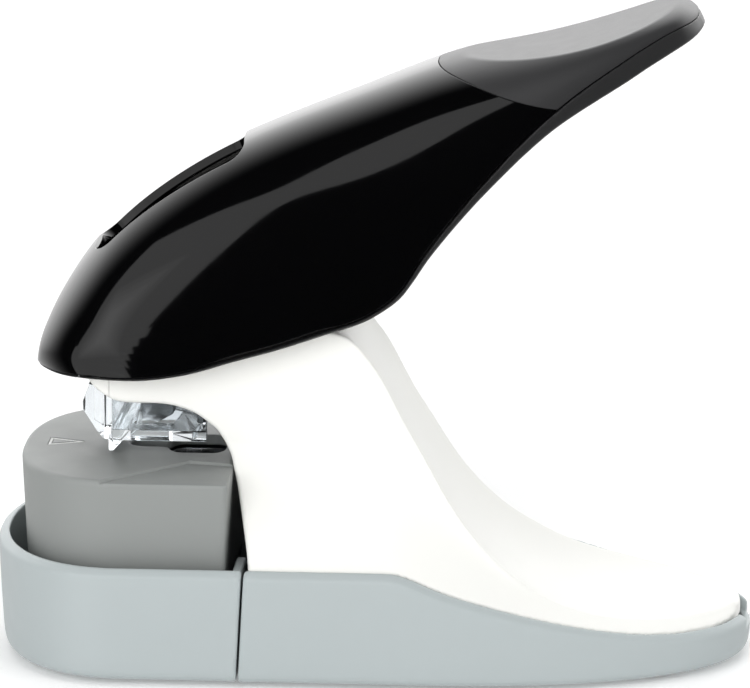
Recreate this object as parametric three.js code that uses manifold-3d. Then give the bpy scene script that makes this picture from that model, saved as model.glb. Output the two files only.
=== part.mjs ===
// Punch-and-tuck desktop stapler (needs no wire staples), rest pose with the lever raised.
// Millimetres, +Z up. X runs from the paper side (-X) to the heel of the foot (+X), Y across.
// The origin is the centre of the footprint on the table.
import * as THREE from "three";
import { mergeVertices } from "three/addons/utils/BufferGeometryUtils.js";
import Module from "manifold-3d";

const wasm = await Module();
wasm.setup();

// ---------------------------------------------------------------- driving dimensions
const FRONT_X = -60.2; // front of the tray
const HEEL_X = 60.71; // rear end of the base at its widest level
const FOOT_GAP = 0.8; // underside of the base above the table

// base, seen from above: a superellipse at each end of a straight middle
const BASE = { xm: 8, half: 26.8, n: 2.2 }; // rear half
const TRAY = { xm: -38.5, n: 2.15 }; // front half
const WALL = 1.6; // base and tray wall
const SEAM_TOP = -18.9; // x of the joint between tray and rear base at the rim
const SEAM_BOTTOM = -20.0; // and at the underside
const RIM_Z = [
  [-61, 19.4], [4, 19.4], [6.5, 18.8], [9.3, 17.6], [13, 16.1], [16.8, 14.9], [24.1, 12.8], [31.5, 10.9],
  [39, 9.3], [44.6, 8.4], [50, 7.9], [55, 7.7], [61, 7.7],
]; // height of the base rim along X

// saddle-shaped body
const ARM_HALF = 11.2;
const ARM_TOP_Z = 54.6;
const SKIN = 1.6;
const CREASE = [
  // x, half width, z of the edge between side and back channel
  [-19.8, 11.3, 54.6], [-12, 11.4, 54.6], [-6, 11.5, 54.4], [-3.1, 11.5, 53.4], [-0.6, 11.6, 50.6], [1.6, 11.6, 47.6],
  [5, 11.75, 40.8], [9, 12.8, 34], [12.6, 14.1, 27.8], [17, 15.7, 22.1], [21, 17, 18.3], [25, 18, 15.5],
  [29, 18.5, 13.3], [33, 18.5, 11.8], [37, 18.2, 10.8], [44.5, 15.8, 9.7], [51, 11.6, 9.3], [55, 7.6, 9.2],
  [57.6, 3, 9.1],
];
const CHANNEL = [
  [-19.8, 0], [-9, 0], [-6, 0.5], [-3, 1.2], [1.6, 2.6], [5, 3.2], [12.6, 3.6], [21, 3.2], [29, 2.5], [37, 1.7],
  [44.5, 1.1], [51, 0.7], [57.6, 0.4],
]; // depth of the back channel below the crease

// lever
const PIVOT = { x: -41.5, z: 50.8, r: 1.75 };
const LEVER_SWING = 26; // degrees, handle down
const TILT = THREE.MathUtils.degToRad(28.7); // long axis of the lever above the table
const COVER_WALL = 1.5;
const CROWN = [
  // x, z of the centre line on top
  [-53.8, 46.4], [-53.3, 49.6], [-52, 53.2], [-50.1, 57.4], [-48, 60.9], [-46, 64.0], [-44, 66.6], [-42, 68.7], [-38.1, 72.3],
  [-34.2, 75.3], [-30.3, 78.0], [-26.5, 80.3], [-22.6, 82.5], [-16.9, 85.1], [-9.3, 88.3], [-1.7, 91.3],
  [5.9, 94.5], [10, 96.2], [15, 97.7], [20, 99.0], [28, 101.0], [34, 102.7], [40, 104.3], [45, 105.5], [48, 105.95],
  [49.8, 105.5], [50.7, 104.2],
];
const EDGE = [
  // x, z, half width of the lower edge of the cover and pad
  [-53.8, 46.5, 0], [-53.3, 46.8, 3.6], [-52, 46.9, 6.9], [-50, 47.0, 10.1], [-47.5, 47.1, 12.5], [-44.5, 47.2, 14.2],
  [-40.3, 47.3, 15.4], [-35, 47.7, 16.2], [-28, 49.1, 16.7], [-21.8, 51.1, 17.0], [-14.4, 53.3, 17.0], [-7.7, 55.6, 16.8],
  [0, 58.4, 16.2], [3.8, 61.0, 15.9], [6.5, 64.5, 15.7], [8.4, 67.6, 15.5], [12.1, 72.6, 15.2], [15.8, 77.2, 15],
  [19.5, 81.5, 14.8], [23.0, 85.4, 14.6], [27.9, 90.2, 14.4], [33.5, 94.8, 14.0], [39.1, 98.7, 13.2], [42, 100.6, 12.5],
  [44.8, 102.2, 11.2], [47.7, 103.5, 9.3], [49.4, 103.9, 7], [50.4, 104.1, 4], [50.7, 104.2, 0],
];
const BAND = [
  // distance along the lever's axis, depth of the band that shows below the cover
  [-26, 0.7], [30, 0.8], [36, 1.0], [50, 1.4], [60, 1.9], [67.5, 2.3], [75, 3.0], [82, 3.3], [88, 3.3], [91, 3.1], [93, 2.8], [94.5, 2.0],
];
const SECTION_N = 2.5; // superellipse exponent of the lever's cross-section
const SEAM = [
  // joint between cover and palm pad, in side view
  [8.4, 100], [8.8, 96.8], [10.4, 95.9], [13.4, 95.0], [17.3, 93.9], [22.1, 92.5], [26.4, 91.6], [29.3, 91.2], [33, 90.9],
];
const SCOOP = { x: 12.56, z: 171.3, r: 74 }; // palm dish, a cylinder lying across the pad
const WINDOW = { x0: -44.3, x1: -20.6, half: 7.3 };

// punch and die
const POD = { top: 32.6, bottom: 3.6, xm: -38, front: -56.2, half: 22.5, rear: -21.5, n: 2.4, draft: 0.04 };
const DRIVE = { x: -28, z: 53.9, r: 1.5 };
const PUNCH_STROKE = 6.25;

// ---------------------------------------------------------------- helpers
const V = (x, y, z) => new THREE.Vector3(x, y, z);

// monotone cubic through [x, a, b, ...] rows
function curve(rows, k = 1) {
  const n = rows.length, x = rows.map((r) => r[0]), y = rows.map((r) => r[k]);
  const d = [], m = new Array(n).fill(0);
  for (let i = 0; i < n - 1; i++) d.push((y[i + 1] - y[i]) / (x[i + 1] - x[i]));
  m[0] = d[0];
  m[n - 1] = d[n - 2];
  for (let i = 1; i < n - 1; i++) {
    if (d[i - 1] * d[i] <= 0) m[i] = 0;
    else {
      const h0 = x[i] - x[i - 1], h1 = x[i + 1] - x[i], w1 = 2 * h1 + h0, w2 = h1 + 2 * h0;
      m[i] = (w1 + w2) / (w1 / d[i - 1] + w2 / d[i]);
    }
  }
  return (q) => {
    if (q <= x[0]) return y[0];
    if (q >= x[n - 1]) return y[n - 1];
    let i = 0;
    while (q > x[i + 1]) i++;
    const h = x[i + 1] - x[i], t = (q - x[i]) / h, t2 = t * t, t3 = t2 * t;
    return (2 * t3 - 3 * t2 + 1) * y[i] + (t3 - 2 * t2 + t) * h * m[i] + (-2 * t3 + 3 * t2) * y[i + 1] + (t3 - t2) * h * m[i + 1];
  };
}

function solid(geometry) {
  let g = geometry.index ? geometry.toNonIndexed() : geometry.clone();
  for (const a of Object.keys(g.attributes)) if (a !== "position") g.deleteAttribute(a);
  g = mergeVertices(g, 1e-4);
  const tri = new Uint32Array(g.index.array);
  const make = () => new wasm.Manifold(new wasm.Mesh({ numProp: 3, vertProperties: g.attributes.position.array, triVerts: tri }));
  let s = make();
  if (s.volume() < 0) {
    for (let i = 0; i < tri.length; i += 3) [tri[i + 1], tri[i + 2]] = [tri[i + 2], tri[i + 1]];
    s = make();
  }
  return s;
}
function geometryOf(s) {
  const m = s.getMesh(), n = m.numProp, v = new Float32Array(m.numVert * 3);
  for (let i = 0; i < m.numVert; i++) v.set(m.vertProperties.subarray(i * n, i * n + 3), i * 3);
  const g = new THREE.BufferGeometry();
  g.setAttribute("position", new THREE.BufferAttribute(v, 3));
  g.setIndex(new THREE.BufferAttribute(new Uint32Array(m.triVerts), 1));
  g.computeVertexNormals();
  return g;
}
const join = (...s) => s.reduce((a, b) => a.add(b));
const cut = (a, ...s) => s.reduce((p, b) => p.subtract(b), a);
const largest = (s) => s.decompose().sort((a, b) => b.volume() - a.volume())[0];

const outline = (pts) => new THREE.Shape(pts.map((p) => new THREE.Vector2(p[0], p[1])));
// [x, z] profile swept across, from y0 to y1
function side(pts, y0, y1) {
  const g = new THREE.ExtrudeGeometry(outline(pts), { depth: y1 - y0, bevelEnabled: false });
  g.rotateX(Math.PI / 2);
  g.translate(0, y1, 0);
  return solid(g);
}
// [x, y] profile raised from z0 to z1
function plan(pts, z0, z1) {
  const g = new THREE.ExtrudeGeometry(outline(pts), { depth: z1 - z0, bevelEnabled: false });
  g.translate(0, 0, z0);
  return solid(g);
}
// [y, z] profile swept along, from x0 to x1
function front(pts, x0, x1) {
  const g = new THREE.ExtrudeGeometry(outline(pts), { depth: x1 - x0, bevelEnabled: false });
  g.applyMatrix4(new THREE.Matrix4().makeBasis(V(0, 1, 0), V(0, 0, 1), V(1, 0, 0)));
  g.translate(x0, 0, 0);
  return solid(g);
}
function box(x0, x1, y0, y1, z0, z1) {
  const g = new THREE.BoxGeometry(x1 - x0, y1 - y0, z1 - z0);
  g.translate((x0 + x1) / 2, (y0 + y1) / 2, (z0 + z1) / 2);
  return solid(g);
}
function rodY(x, z, r, y0, y1, seg = 24) {
  const g = new THREE.CylinderGeometry(r, r, y1 - y0, seg);
  g.translate(x, (y0 + y1) / 2, z);
  return solid(g);
}
function rodZ(x, y, r, z0, z1, seg = 24, r2 = r) {
  const g = new THREE.CylinderGeometry(r2, r, z1 - z0, seg);
  g.rotateX(Math.PI / 2);
  g.translate(x, y, (z0 + z1) / 2);
  return solid(g);
}
// closed skin over rings of equal point count; each end closes on its own middle
function loft(rings) {
  const n = rings[0].length, p = [], ix = [];
  for (const r of rings) for (const q of r) p.push(q.x, q.y, q.z);
  for (let i = 0; i < rings.length - 1; i++)
    for (let j = 0; j < n; j++) {
      const a = i * n + j, b = i * n + ((j + 1) % n), c = a + n, d = b + n;
      ix.push(a, b, d, a, d, c);
    }
  for (const [i, flip] of [[0, true], [rings.length - 1, false]]) {
    const c = V(0, 0, 0);
    rings[i].forEach((q) => c.add(q));
    c.multiplyScalar(1 / n);
    const m = p.length / 3;
    p.push(c.x, c.y, c.z);
    for (let j = 0; j < n; j++) {
      const a = i * n + j, b = i * n + ((j + 1) % n);
      if (flip) ix.push(b, a, m);
      else ix.push(a, b, m);
    }
  }
  const g = new THREE.BufferGeometry();
  g.setAttribute("position", new THREE.Float32BufferAttribute(p, 3));
  g.setIndex(ix);
  return solid(g);
}
const span = (a, b, n) => Array.from({ length: n + 1 }, (_, i) => a + ((b - a) * i) / n);
const pow = (v, e) => Math.sign(v) * Math.abs(v) ** e;

// ---------------------------------------------------------------- base outline
const rimZ = curve(RIM_Z);
// half width of the base at x, `inset` inside its widest outline
function baseHalf(x, inset = 0) {
  const b = BASE.half - inset;
  if (x > BASE.xm) {
    const a = HEEL_X - BASE.xm - inset, q = (x - BASE.xm) / a;
    return q >= 1 ? 0 : b * (1 - q ** BASE.n) ** (1 / BASE.n);
  }
  if (x < TRAY.xm) {
    const a = TRAY.xm - FRONT_X - inset, q = (TRAY.xm - x) / a;
    return q >= 1 ? 0 : b * (1 - q ** TRAY.n) ** (1 / TRAY.n);
  }
  return b;
}
// the base's plan outline as a ring at height z
function baseRing(z, inset) {
  const pts = [];
  const b = BASE.half - inset, ar = HEEL_X - BASE.xm - inset, af = TRAY.xm - FRONT_X - inset, N = 11;
  for (let i = 0; i <= N; i++) {
    const t = (-Math.PI / 2) + (Math.PI / 2) * (i / N);
    pts.push([BASE.xm + ar * pow(Math.cos(t), 2 / BASE.n), b * pow(Math.sin(t), 2 / BASE.n)]);
  }
  for (let i = 1; i <= N; i++) {
    const t = (Math.PI / 2) * (i / N);
    pts.push([BASE.xm + ar * pow(Math.cos(t), 2 / BASE.n), b * pow(Math.sin(t), 2 / BASE.n)]);
  }
  for (let i = 0; i <= N; i++) {
    const t = Math.PI / 2 + (Math.PI / 2) * (i / N);
    pts.push([TRAY.xm + af * pow(Math.cos(t), 2 / TRAY.n), b * pow(Math.sin(t), 2 / TRAY.n)]);
  }
  for (let i = 1; i <= N; i++) {
    const t = Math.PI + (Math.PI / 2) * (i / N);
    pts.push([TRAY.xm + af * pow(Math.cos(t), 2 / TRAY.n), b * pow(Math.sin(t), 2 / TRAY.n)]);
  }
  return pts.map((q) => V(q[0], q[1], z));
}
const tub = (levels) => loft(levels.map(([z, inset]) => baseRing(z, inset)));
const tubOuter = tub([[FOOT_GAP, 1.9], [1.3, 1.2], [2.4, 0.7], [6, 0.45], [17.8, 0], [21, 0]]);
const tubInner = tub([[3.0, 3.4], [4.2, WALL + 0.2], [24, WALL + 0.2]]);
const below = (dz) => {
  const top = span(-62, 62, 40).map((x) => [x, rimZ(x) + dz]);
  return side([[-62, -5], [62, -5], ...top.reverse()], -40, 40);
};
const rounded = cut(tubOuter.intersect(below(0)), box(0, 0.1, 0, 0.1, 90, 91));

// slanted joint plane between tray and rear base
const seamX = (z) => SEAM_BOTTOM + ((SEAM_TOP - SEAM_BOTTOM) * (z - 0.8)) / 18.6;
const ahead = (dx) => side([[-70, -5], [seamX(-5) + dx, -5], [seamX(30) + dx, 30], [-70, 30]], -40, 40);
const behind = (dx) => side([[seamX(-5) + dx, -5], [70, -5], [70, 30], [seamX(30) + dx, 30]], -40, 40);

const FEET = [[-48, -12], [-48, 12], [44, -11], [44, 11]];
const footHole = ([x, y]) => rodZ(x, y, 4.3, -1, 1.7, 28);
const BASE_SCREWS = [[-10, -17], [-10, 17], [24, 0]];
const TRAY_SCREWS = [[-26, -17], [-26, 17]];

let base_rear = cut(rounded, tubInner).intersect(behind(0.15));
// cross wall at the joint, and a step behind the pod
base_rear = join(
  base_rear,
  side([[seamX(0.9) + 0.15, 0.9], [seamX(0.9) + 2.1, 0.9], [seamX(16) + 2.1, 16], [seamX(16) + 0.15, 16]], -24.8, 24.8),
);
for (const [x, y] of BASE_SCREWS) base_rear = join(base_rear, rodZ(x, y, 3.3, 1.2, 4.5, 20));
for (const [x, y] of BASE_SCREWS) base_rear = cut(base_rear, rodZ(x, y, 1.6, 0, 6, 16), rodZ(x, y, 2.7, 0, 2.4, 20));
// finger notch in the rim at the heel
base_rear = cut(base_rear, box(56.5, 62, -4.6, 4.6, 5.2, 10), ...FEET.slice(2).map(footHole));
base_rear = cut(base_rear, box(-24, -16.4, -9.6, 9.6, 3.2, 13.2)); // the frame's lower arm passes through

let base_front = cut(rounded, tubInner).intersect(ahead(-0.15));
base_front = join(base_front, side([[seamX(0.9) - 1.9, 0.9], [seamX(0.9) - 0.15, 0.9], [seamX(4) - 0.15, 4], [seamX(4) - 1.9, 4]], -24.4, 24.4));
// ledges across both rear corners, behind the pod
for (const s of [-1, 1]) {
  const slab = [[seamX(0.9) - 1.9, 0.9], [seamX(0.9) - 0.15, 0.9], [seamX(19) - 0.15, 19], [seamX(19) - 1.9, 19]];
  base_front = join(base_front, side(slab, s < 0 ? -25.2 : 14.5, s < 0 ? -14.5 : 25.2));
}
for (const [x, y] of TRAY_SCREWS) base_front = join(base_front, rodZ(x, y, 3.3, 1.2, 3.3, 20));
for (const [x, y] of TRAY_SCREWS) base_front = cut(base_front, rodZ(x, y, 1.6, 0, 6, 16), rodZ(x, y, 2.7, 0, 2.2, 20));
base_front = cut(base_front, ...FEET.slice(0, 2).map(footHole));

// steel floor plate inside the rear base
const plateRing = [[-15.5, -20], [8, -20], [26, -17.5], [40, -12], [47, -4], [47, 4], [40, 12], [26, 17.5], [8, 20], [-15.5, 20]];
let floor_plate = plan(plateRing, 4.8, 6.0);
for (const [x, y] of BASE_SCREWS) floor_plate = cut(floor_plate, rodZ(x, y, 1.7, 3, 8, 16));
floor_plate = cut(floor_plate, box(-16, -2.2, 6.9, 9.4, 3, 8), box(-16, -2.2, -9.4, -6.9, 3, 8));

// ---------------------------------------------------------------- body shell
const creaseW = curve(CREASE, 1), creaseZ = curve(CREASE, 2), channel = curve(CHANNEL);
const flareTop = (x) => Math.min(creaseZ(x), 36.5);
// one cross-section of the saddle at x; `t` insets it to make the hollow
function bodyRing(x, t = 0, low = 0) {
  const zr = rimZ(x), zc = creaseZ(x) - t, wc = Math.max(0.4, creaseW(x) - t);
  const wb = Math.max(0.8, baseHalf(x, WALL + 0.5) - t);
  const pts = [];
  const zb = zr - 1.8 - low;
  pts.push([wb, zb]);
  const z0 = zr - 0.1, zf = Math.max(z0 + 0.2, flareTop(x) - t);
  const steps = 8;
  for (let i = 0; i <= steps; i++) {
    // flares out as it comes down to the base rim
    const q = i / steps, z = z0 + (zf - z0) * q;
    const wf = creaseZ(x) > 36.5 ? Math.max(creaseW(x) + 0.25 - t, 0.5) : wc;
    pts.push([wf + (Math.max(wb, wf) - wf) * (1 - q) ** 1.55, z]);
  }
  pts.push([wc, Math.max(zc, zf + 0.05)]);
  const dz = channel(x), zt = Math.max(zc, zf + 0.05);
  const lip = Math.min(0.9, wc * 0.2);
  pts.push([wc - lip, zt]);
  for (const q of [0.9, 0.72, 0.5, 0.26]) pts.push([(wc - lip) * q, zt - dz * (1 - q ** 2.6)]);
  const right = pts;
  const left = [...pts].reverse().map(([y, z]) => [-y, z]);
  return [...right, [0, zt - dz], ...left].map(([y, z]) => V(x, y, z));
}
const bodyX = [-19.6, -16, -12, -9, -6.4, -4.6, -3.1, -1.8, -0.6, 0.6, 1.8, 3.2, 5, 7, 9, 11, 13, 15, 17, 19, 21, 23.5, 26, 29, 32, 35, 38, 41, 44, 47, 50, 52.5, 54.6, 56.2, 57.3];
let saddle = loft(bodyX.map((x) => bodyRing(x)));
// the throat's rear edge leans back as it comes down
const THROAT = [[-24.1, 38], [-22.9, 36.1], [-21.9, 34.1], [-21.4, 32], [-20.7, 29.6], [-20.1, 27], [-19.5, 24.5], [-18.8, 21.8], [-18.2, 19], [-18.1, 16]];
saddle = cut(saddle, side([[-30, 10], [-30, 38], ...THROAT, [-18.1, 10]], -40, 40));
const armProfile = [
  [-46.9, 50.6], [-46.6, 48.4], [-45.8, 46.6], [-44.8, 45.5], [-43.8, 44.6], [-42.2, 43.4], [-40.6, 42.6], [-39, 42.25], [-36.9, 42.2], [-33.1, 42.2],
  [-31, 41.9], [-29, 41.3], [-27.4, 40.6], [-26, 39.6], [-25, 38.8], [-24.1, 37.8], [-22.9, 36.1], [-21.9, 34.1], [-15, 34.1], [-15, 54.6],
  [-42, 54.6], [-44.4, 54.0], [-46.1, 52.6],
];
// plan outline of the arm: rounded at its nose
const armPlan = [];
for (let i = 0; i <= 10; i++) {
  const t = Math.PI / 2 + (Math.PI * i) / 10;
  armPlan.push([-41.2 + 5.8 * pow(Math.cos(t), 0.75), ARM_HALF * pow(Math.sin(t), 0.75)]);
}
armPlan.push([-15, -ARM_HALF], [-15, ARM_HALF]);
const arm = side(armProfile, -15, 15).intersect(plan(armPlan, 30, 60));
let body_shell = join(saddle, arm);
// hollow: inside of the saddle, of the arm, and their openings
const hollowX = [-22, -19.6, -16, -12, -9, -6.4, -4.6, -3.1, -1.8, -0.6, 0.6, 1.8, 3.2, 5, 7, 9, 11, 13, 15, 17, 19, 21, 23.5, 26, 29, 32, 35, 38, 41, 44, 47, 49.5];
let hollow = loft(hollowX.map((x) => bodyRing(x, SKIN, 6)));
hollow = hollow.intersect(box(-30, 60, -40, 40, 0, ARM_TOP_Z - 1.6));
body_shell = cut(
  body_shell,
  hollow,
  box(-44.4, -12, -ARM_HALF + SKIN, ARM_HALF - SKIN, 43.8, ARM_TOP_Z - SKIN),
  box(-30, -12, -ARM_HALF + SKIN, ARM_HALF - SKIN, 20, ARM_TOP_Z - SKIN),
  box(-34, -8.5, -6.5, 6.5, 50, 60), // the lever's drive fork and spring tab pass through the top
  box(-47.5, -26, -7.6, 7.6, 40, 44.4), // the clear guide passes through the underside
  rodY(PIVOT.x, PIVOT.z, PIVOT.r + 0.3, -20, 20),
);
// bosses for the screws that come up through the base
for (const [x, y] of BASE_SCREWS) {
  body_shell = join(body_shell, rodZ(x, y, 2.9, 6.4, 34, 20).intersect(saddle));
  body_shell = cut(body_shell, rodZ(x, y, 1.55, 5, 10, 16));
}

// dark liner that closes the throat behind the pod
const linerOutline = [];
for (const z of [16.6, 19.4, 22, 25, 28, 31, 34]) {
  const q = Math.max(0, (36.5 - z) / 17.2);
  linerOutline.push([11.2 + 12.3 * q ** 1.55 - 2.4, z]);
}
const linerFace = [...linerOutline, ...[...linerOutline].reverse().map(([y, z]) => [-y, z])];
const throat_liner = side(
  [[-19.9, 34], [-19.6, 32], [-18.9, 29.6], [-18.3, 27], [-17.7, 24.5], [-17.0, 21.8], [-16.3, 19], [-16.2, 16.6], [-14.4, 16.6], [-14.5, 19], [-15.2, 21.8], [-15.9, 24.5], [-16.5, 27], [-17.1, 29.6], [-17.8, 32], [-18.1, 34]],
  -26, 26,
).intersect(front(linerFace, -24, -10));

// ---------------------------------------------------------------- steel frame
const plateProfile = [
  [-45.4, 50.8], [-44.6, 47.6], [-42.4, 45.6], [-38.4, 45.2], [-27.4, 45.2], [-21.6, 42.8], [-15.8, 37.6], [-13.2, 31], [-12.6, 20], [-13.4, 12],
  [-18, 10.4], [-38, 10.4], [-43, 9.6], [-46, 7.6], [-46, 6.6], [-3.2, 6.6], [-2.4, 12], [-3.6, 30], [-4.8, 44], [-7.6, 50.6], [-12, 52.4], [-41.4, 52.7], [-44.2, 52.2],
];
const framePlate = (y0, y1) => {
  let p = side(plateProfile, y0, y1);
  return cut(p, rodY(PIVOT.x, PIVOT.z - 0.0, PIVOT.r + 0.05 + 0.2, -20, 20), box(-60, -44.1, -20, 20, 40, 60));
};
const frame_plate_near = framePlate(-8.8, -7.6);
const frame_plate_far = framePlate(7.6, 8.8);
const spacer = (x, z, r) => rodY(x, z, r, -7.3, 7.3, 20);
const frame_spacer_top = spacer(-9.6, 44.5, 2.2);
const frame_spacer_mid = spacer(-8.2, 27, 2.2);
const frame_spacer_low = spacer(-8, 12, 2.2);
const pivot_pin = join(rodY(PIVOT.x, PIVOT.z, PIVOT.r, -12.6, 12.6, 28));
const spring_seat = join(box(-21, -13, -7.2, 7.2, 38.4, 39.8), rodZ(-17, 0, 2.3, 39.5, 42.6, 20));

// ---------------------------------------------------------------- return spring
function coil(x, y, z0, z1, R, r, turns, steps) {
  class Helix extends THREE.Curve {
    getPoint(t, out = new THREE.Vector3()) {
      // closed end turns lie flat, the middle ones climb evenly
      const e = 0.9 / turns, rise = t < e ? 0.06 * (t / e) : t > 1 - e ? 1 - 0.06 * ((1 - t) / e) : 0.06 + (0.88 * (t - e)) / (1 - 2 * e);
      const a = t * turns * 2 * Math.PI;
      return out.set(x + R * Math.cos(a), y + R * Math.sin(a), z0 + r + (z1 - z0 - 2 * r) * rise);
    }
  }
  const ring = [];
  for (let i = 0; i < 7; i++) ring.push([r * Math.cos((i * 2 * Math.PI) / 7), r * Math.sin((i * 2 * Math.PI) / 7)]);
  return solid(new THREE.ExtrudeGeometry(outline(ring), { steps, bevelEnabled: false, extrudePath: new Helix() }));
}
const SPRING = { x: -17, z0: 40.1, z1: 63.0, R: 3.5, r: 0.55, turns: 7 };
const return_spring = coil(SPRING.x, 0, SPRING.z0, SPRING.z1, SPRING.R, SPRING.r, SPRING.turns, 92);

// ---------------------------------------------------------------- lever
const ca = Math.cos(TILT), sa = Math.sin(TILT);
const toST = ([x, z, ...rest]) => [ca * x + sa * z, -sa * x + ca * z, ...rest];
const fromST = (s, y, t) => V(ca * s - sa * t, y, sa * s + ca * t);
const crownST = CROWN.map(toST), edgeST = EDGE.map(toST);
const crownT = curve(crownST), edgeT = curve(edgeST), leverW = curve(edgeST, 2), band = curve(BAND);
const S0 = edgeST[0][0], S1 = edgeST[edgeST.length - 1][0];
const leverS = [...edgeST.slice(1, -1).map((r) => r[0])];
// one arch-shaped section; `t` insets it (`tTop` at the crown), `low` carries it below the edge
function leverRing(s, t = 0, low = 0, tTop = t, k = 14) {
  const w = Math.max(0.25, leverW(s) - t), te = edgeT(s), tc = Math.max(crownT(s) - tTop, te + 0.3);
  const pts = [];
  if (low) pts.push([w, te - low]);
  for (let i = 0; i <= k; i++) {
    const a = (Math.PI * i) / k;
    pts.push([w * pow(Math.cos(a), 2 / SECTION_N), te + (tc - te) * Math.sin(a) ** (2 / SECTION_N)]);
  }
  if (low) pts.push([-w, te - low]);
  return pts.map(([y, q]) => fromST(s, y, q));
}
const poleRing = (s, n, q) => Array.from({ length: n }, (_, i) => {
  const a = (Math.PI * i) / (n - 1);
  return fromST(s, 0.2 * Math.cos(a), q + 0.15 * Math.sin(a));
});
const leverOuter = loft([poleRing(S0 + 0.02, 15, edgeT(S0)), ...leverS.map((s) => leverRing(s)), poleRing(S1 - 0.02, 15, edgeT(S1))]);
const innerS = leverS.filter((s) => s > S0 + 2.2 && s < S1 - 2.4);
const leverInner = loft(innerS.map((s) => leverRing(s, COVER_WALL, 6)));

const seamRegion = (dx, dz) => side([...SEAM.map(([x, z]) => [x + dx, z + dz]), [70, 85], [70, 125], [8.4 + dx, 125]], -30, 30);
const dish = (() => {
  const pts = [];
  for (const a of span(-0.42, 0.78, 30)) pts.push([SCOOP.x + SCOOP.r * Math.sin(a), SCOOP.z - SCOOP.r * Math.cos(a)]);
  return side([...pts, [64, 130], [-20, 130]], -30, 30);
})();
// the window follows the crown: a rounded slot seen square to the lever
const windowCut = (() => {
  const pts = [], r = 3.2, w = WINDOW.half, u0 = toST([WINDOW.x0, 66.5])[0], u1 = toST([WINDOW.x1, 83.6])[0];
  for (const [cx, cy, a0] of [[u1 - r, w - r, 0], [u0 + r, w - r, 90], [u0 + r, -w + r, 180], [u1 - r, -w + r, 270]])
    for (let i = 0; i <= 4; i++) {
      const a = ((a0 + (90 * i) / 4) * Math.PI) / 180;
      pts.push([cx + r * Math.cos(a), cy + r * Math.sin(a)]);
    }
  const g = new THREE.ExtrudeGeometry(outline(pts), { depth: 30, bevelEnabled: false });
  g.translate(0, 0, 68);
  g.rotateY(-TILT);
  return solid(g);
})();
const shell = cut(leverOuter, leverInner);
let lever_cover = cut(shell, seamRegion(-0.1, -0.15), windowCut);
const PAD_DEPTH = 5; // the pad is thick on top, so the dish leaves material under it
let palm_pad = cut(leverOuter, loft(innerS.map((s) => leverRing(s, COVER_WALL, 6, PAD_DEPTH)))).intersect(seamRegion(0.1, 0.15));
palm_pad = cut(palm_pad, dish);

// underframe: the band that shows below the cover, a lip inside it, and the floor of the handle
function bandRing(s, drop = 0) {
  const w = leverW(s), te = edgeT(s), b = band(s);
  const wo = Math.max(0.5, w - 0.05), wl = Math.max(0.35, w - Math.min(1.3, 0.25 + b * 0.45)), wi = Math.max(0.2, w - COVER_WALL - 0.3), top = te + 2.2;
  return [[wo, te - 0.25], [wi, te - 0.25], [wi, top], [-wi, top], [-wi, te - 0.25], [-wo, te - 0.25], [-wl, te - b - drop], [wl, te - b - drop]].map(([y, q]) => fromST(s, y, q));
}
const bandS = leverS.filter((s) => s > S0 + 0.9 && s < S1 - 0.7);
let lever_underframe = loft(bandS.map((s) => bandRing(s)));
const openS = leverS.filter((s) => s > S0 + 3.0 && s < toST([8.4, 67.6])[0] + 0.1);
const frontOpening = loft(openS.map((s) => {
  const w = Math.max(0.5, leverW(s) - COVER_WALL - 1.3), te = edgeT(s);
  return [[w, te - 8], [w, te + 12], [-w, te + 12], [-w, te - 8]].map(([y, q]) => fromST(s, y, q));
}));
const troughS = leverS.filter((s) => s > toST([12, 72])[0] && s < S1 - 5);
const trough = loft(troughS.map((s) => {
  const w = Math.max(0.5, leverW(s) - COVER_WALL - 1.6), te = edgeT(s);
  return [[w, te - band(s) + 1.6], [w, te + 12], [-w, te + 12], [-w, te - band(s) + 1.6]].map(([y, q]) => fromST(s, y, q));
}));
lever_underframe = cut(lever_underframe, frontOpening, trough);
const gapS = leverS.filter((s) => s > S0 + 2.5 && s < S1 - 2.7);
lever_underframe = cut(
  lever_underframe,
  cut(leverOuter, loft(gapS.map((s) => leverRing(s, COVER_WALL + 0.3, 6)))),
  cut(leverOuter, loft(gapS.map((s) => leverRing(s, COVER_WALL + 0.3, 6, PAD_DEPTH + 0.3)))).intersect(seamRegion(-0.3, -0.4)),
  box(-46, -35, 11.2, 12.75, 44, 62),
  box(-46, -35, -12.75, -11.2, 44, 62),
);
lever_underframe = largest(lever_underframe);

// steel bracket inside the lever: ears on the pivot, bridge, drive fork and spring tab
const earProfile = [[-44.7, 50.8], [-44.1, 48.9], [-42.5, 47.7], [-40.4, 47.8], [-37.6, 49.8], [-30, 57.5], [-23, 62], [-23, 65.7], [-31, 65.7], [-38, 59.5], [-42, 56.5], [-44.3, 53.4]];
let lever_bracket = join(
  side(earProfile, -12.4, -11.5),
  side(earProfile, 11.5, 12.4),
  box(-31, -23, -12.4, 12.4, 64.5, 65.7),
  box(-23.5, -12.6, -5.4, 5.4, 64.5, 65.7),
  side([[-31, 65], [-30.8, 52.6], [-29, 51.3], [-27, 51.3], [-25.2, 52.6], [-25, 65]], -5.7, -4.4),
  side([[-31, 65], [-30.8, 52.6], [-29, 51.3], [-27, 51.3], [-25.2, 52.6], [-25, 65]], 4.4, 5.7),
  rodZ(-17, 0, 2.3, 61.2, 65, 20),
);
lever_bracket = cut(lever_bracket, rodY(PIVOT.x, PIVOT.z, PIVOT.r + 0.1, -20, 20, 28), rodY(DRIVE.x, DRIVE.z, DRIVE.r + 0.3, -20, 20, 24));
const drive_pin = rodY(DRIVE.x, DRIVE.z, DRIVE.r, -6.1, 6.1, 24);
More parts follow.
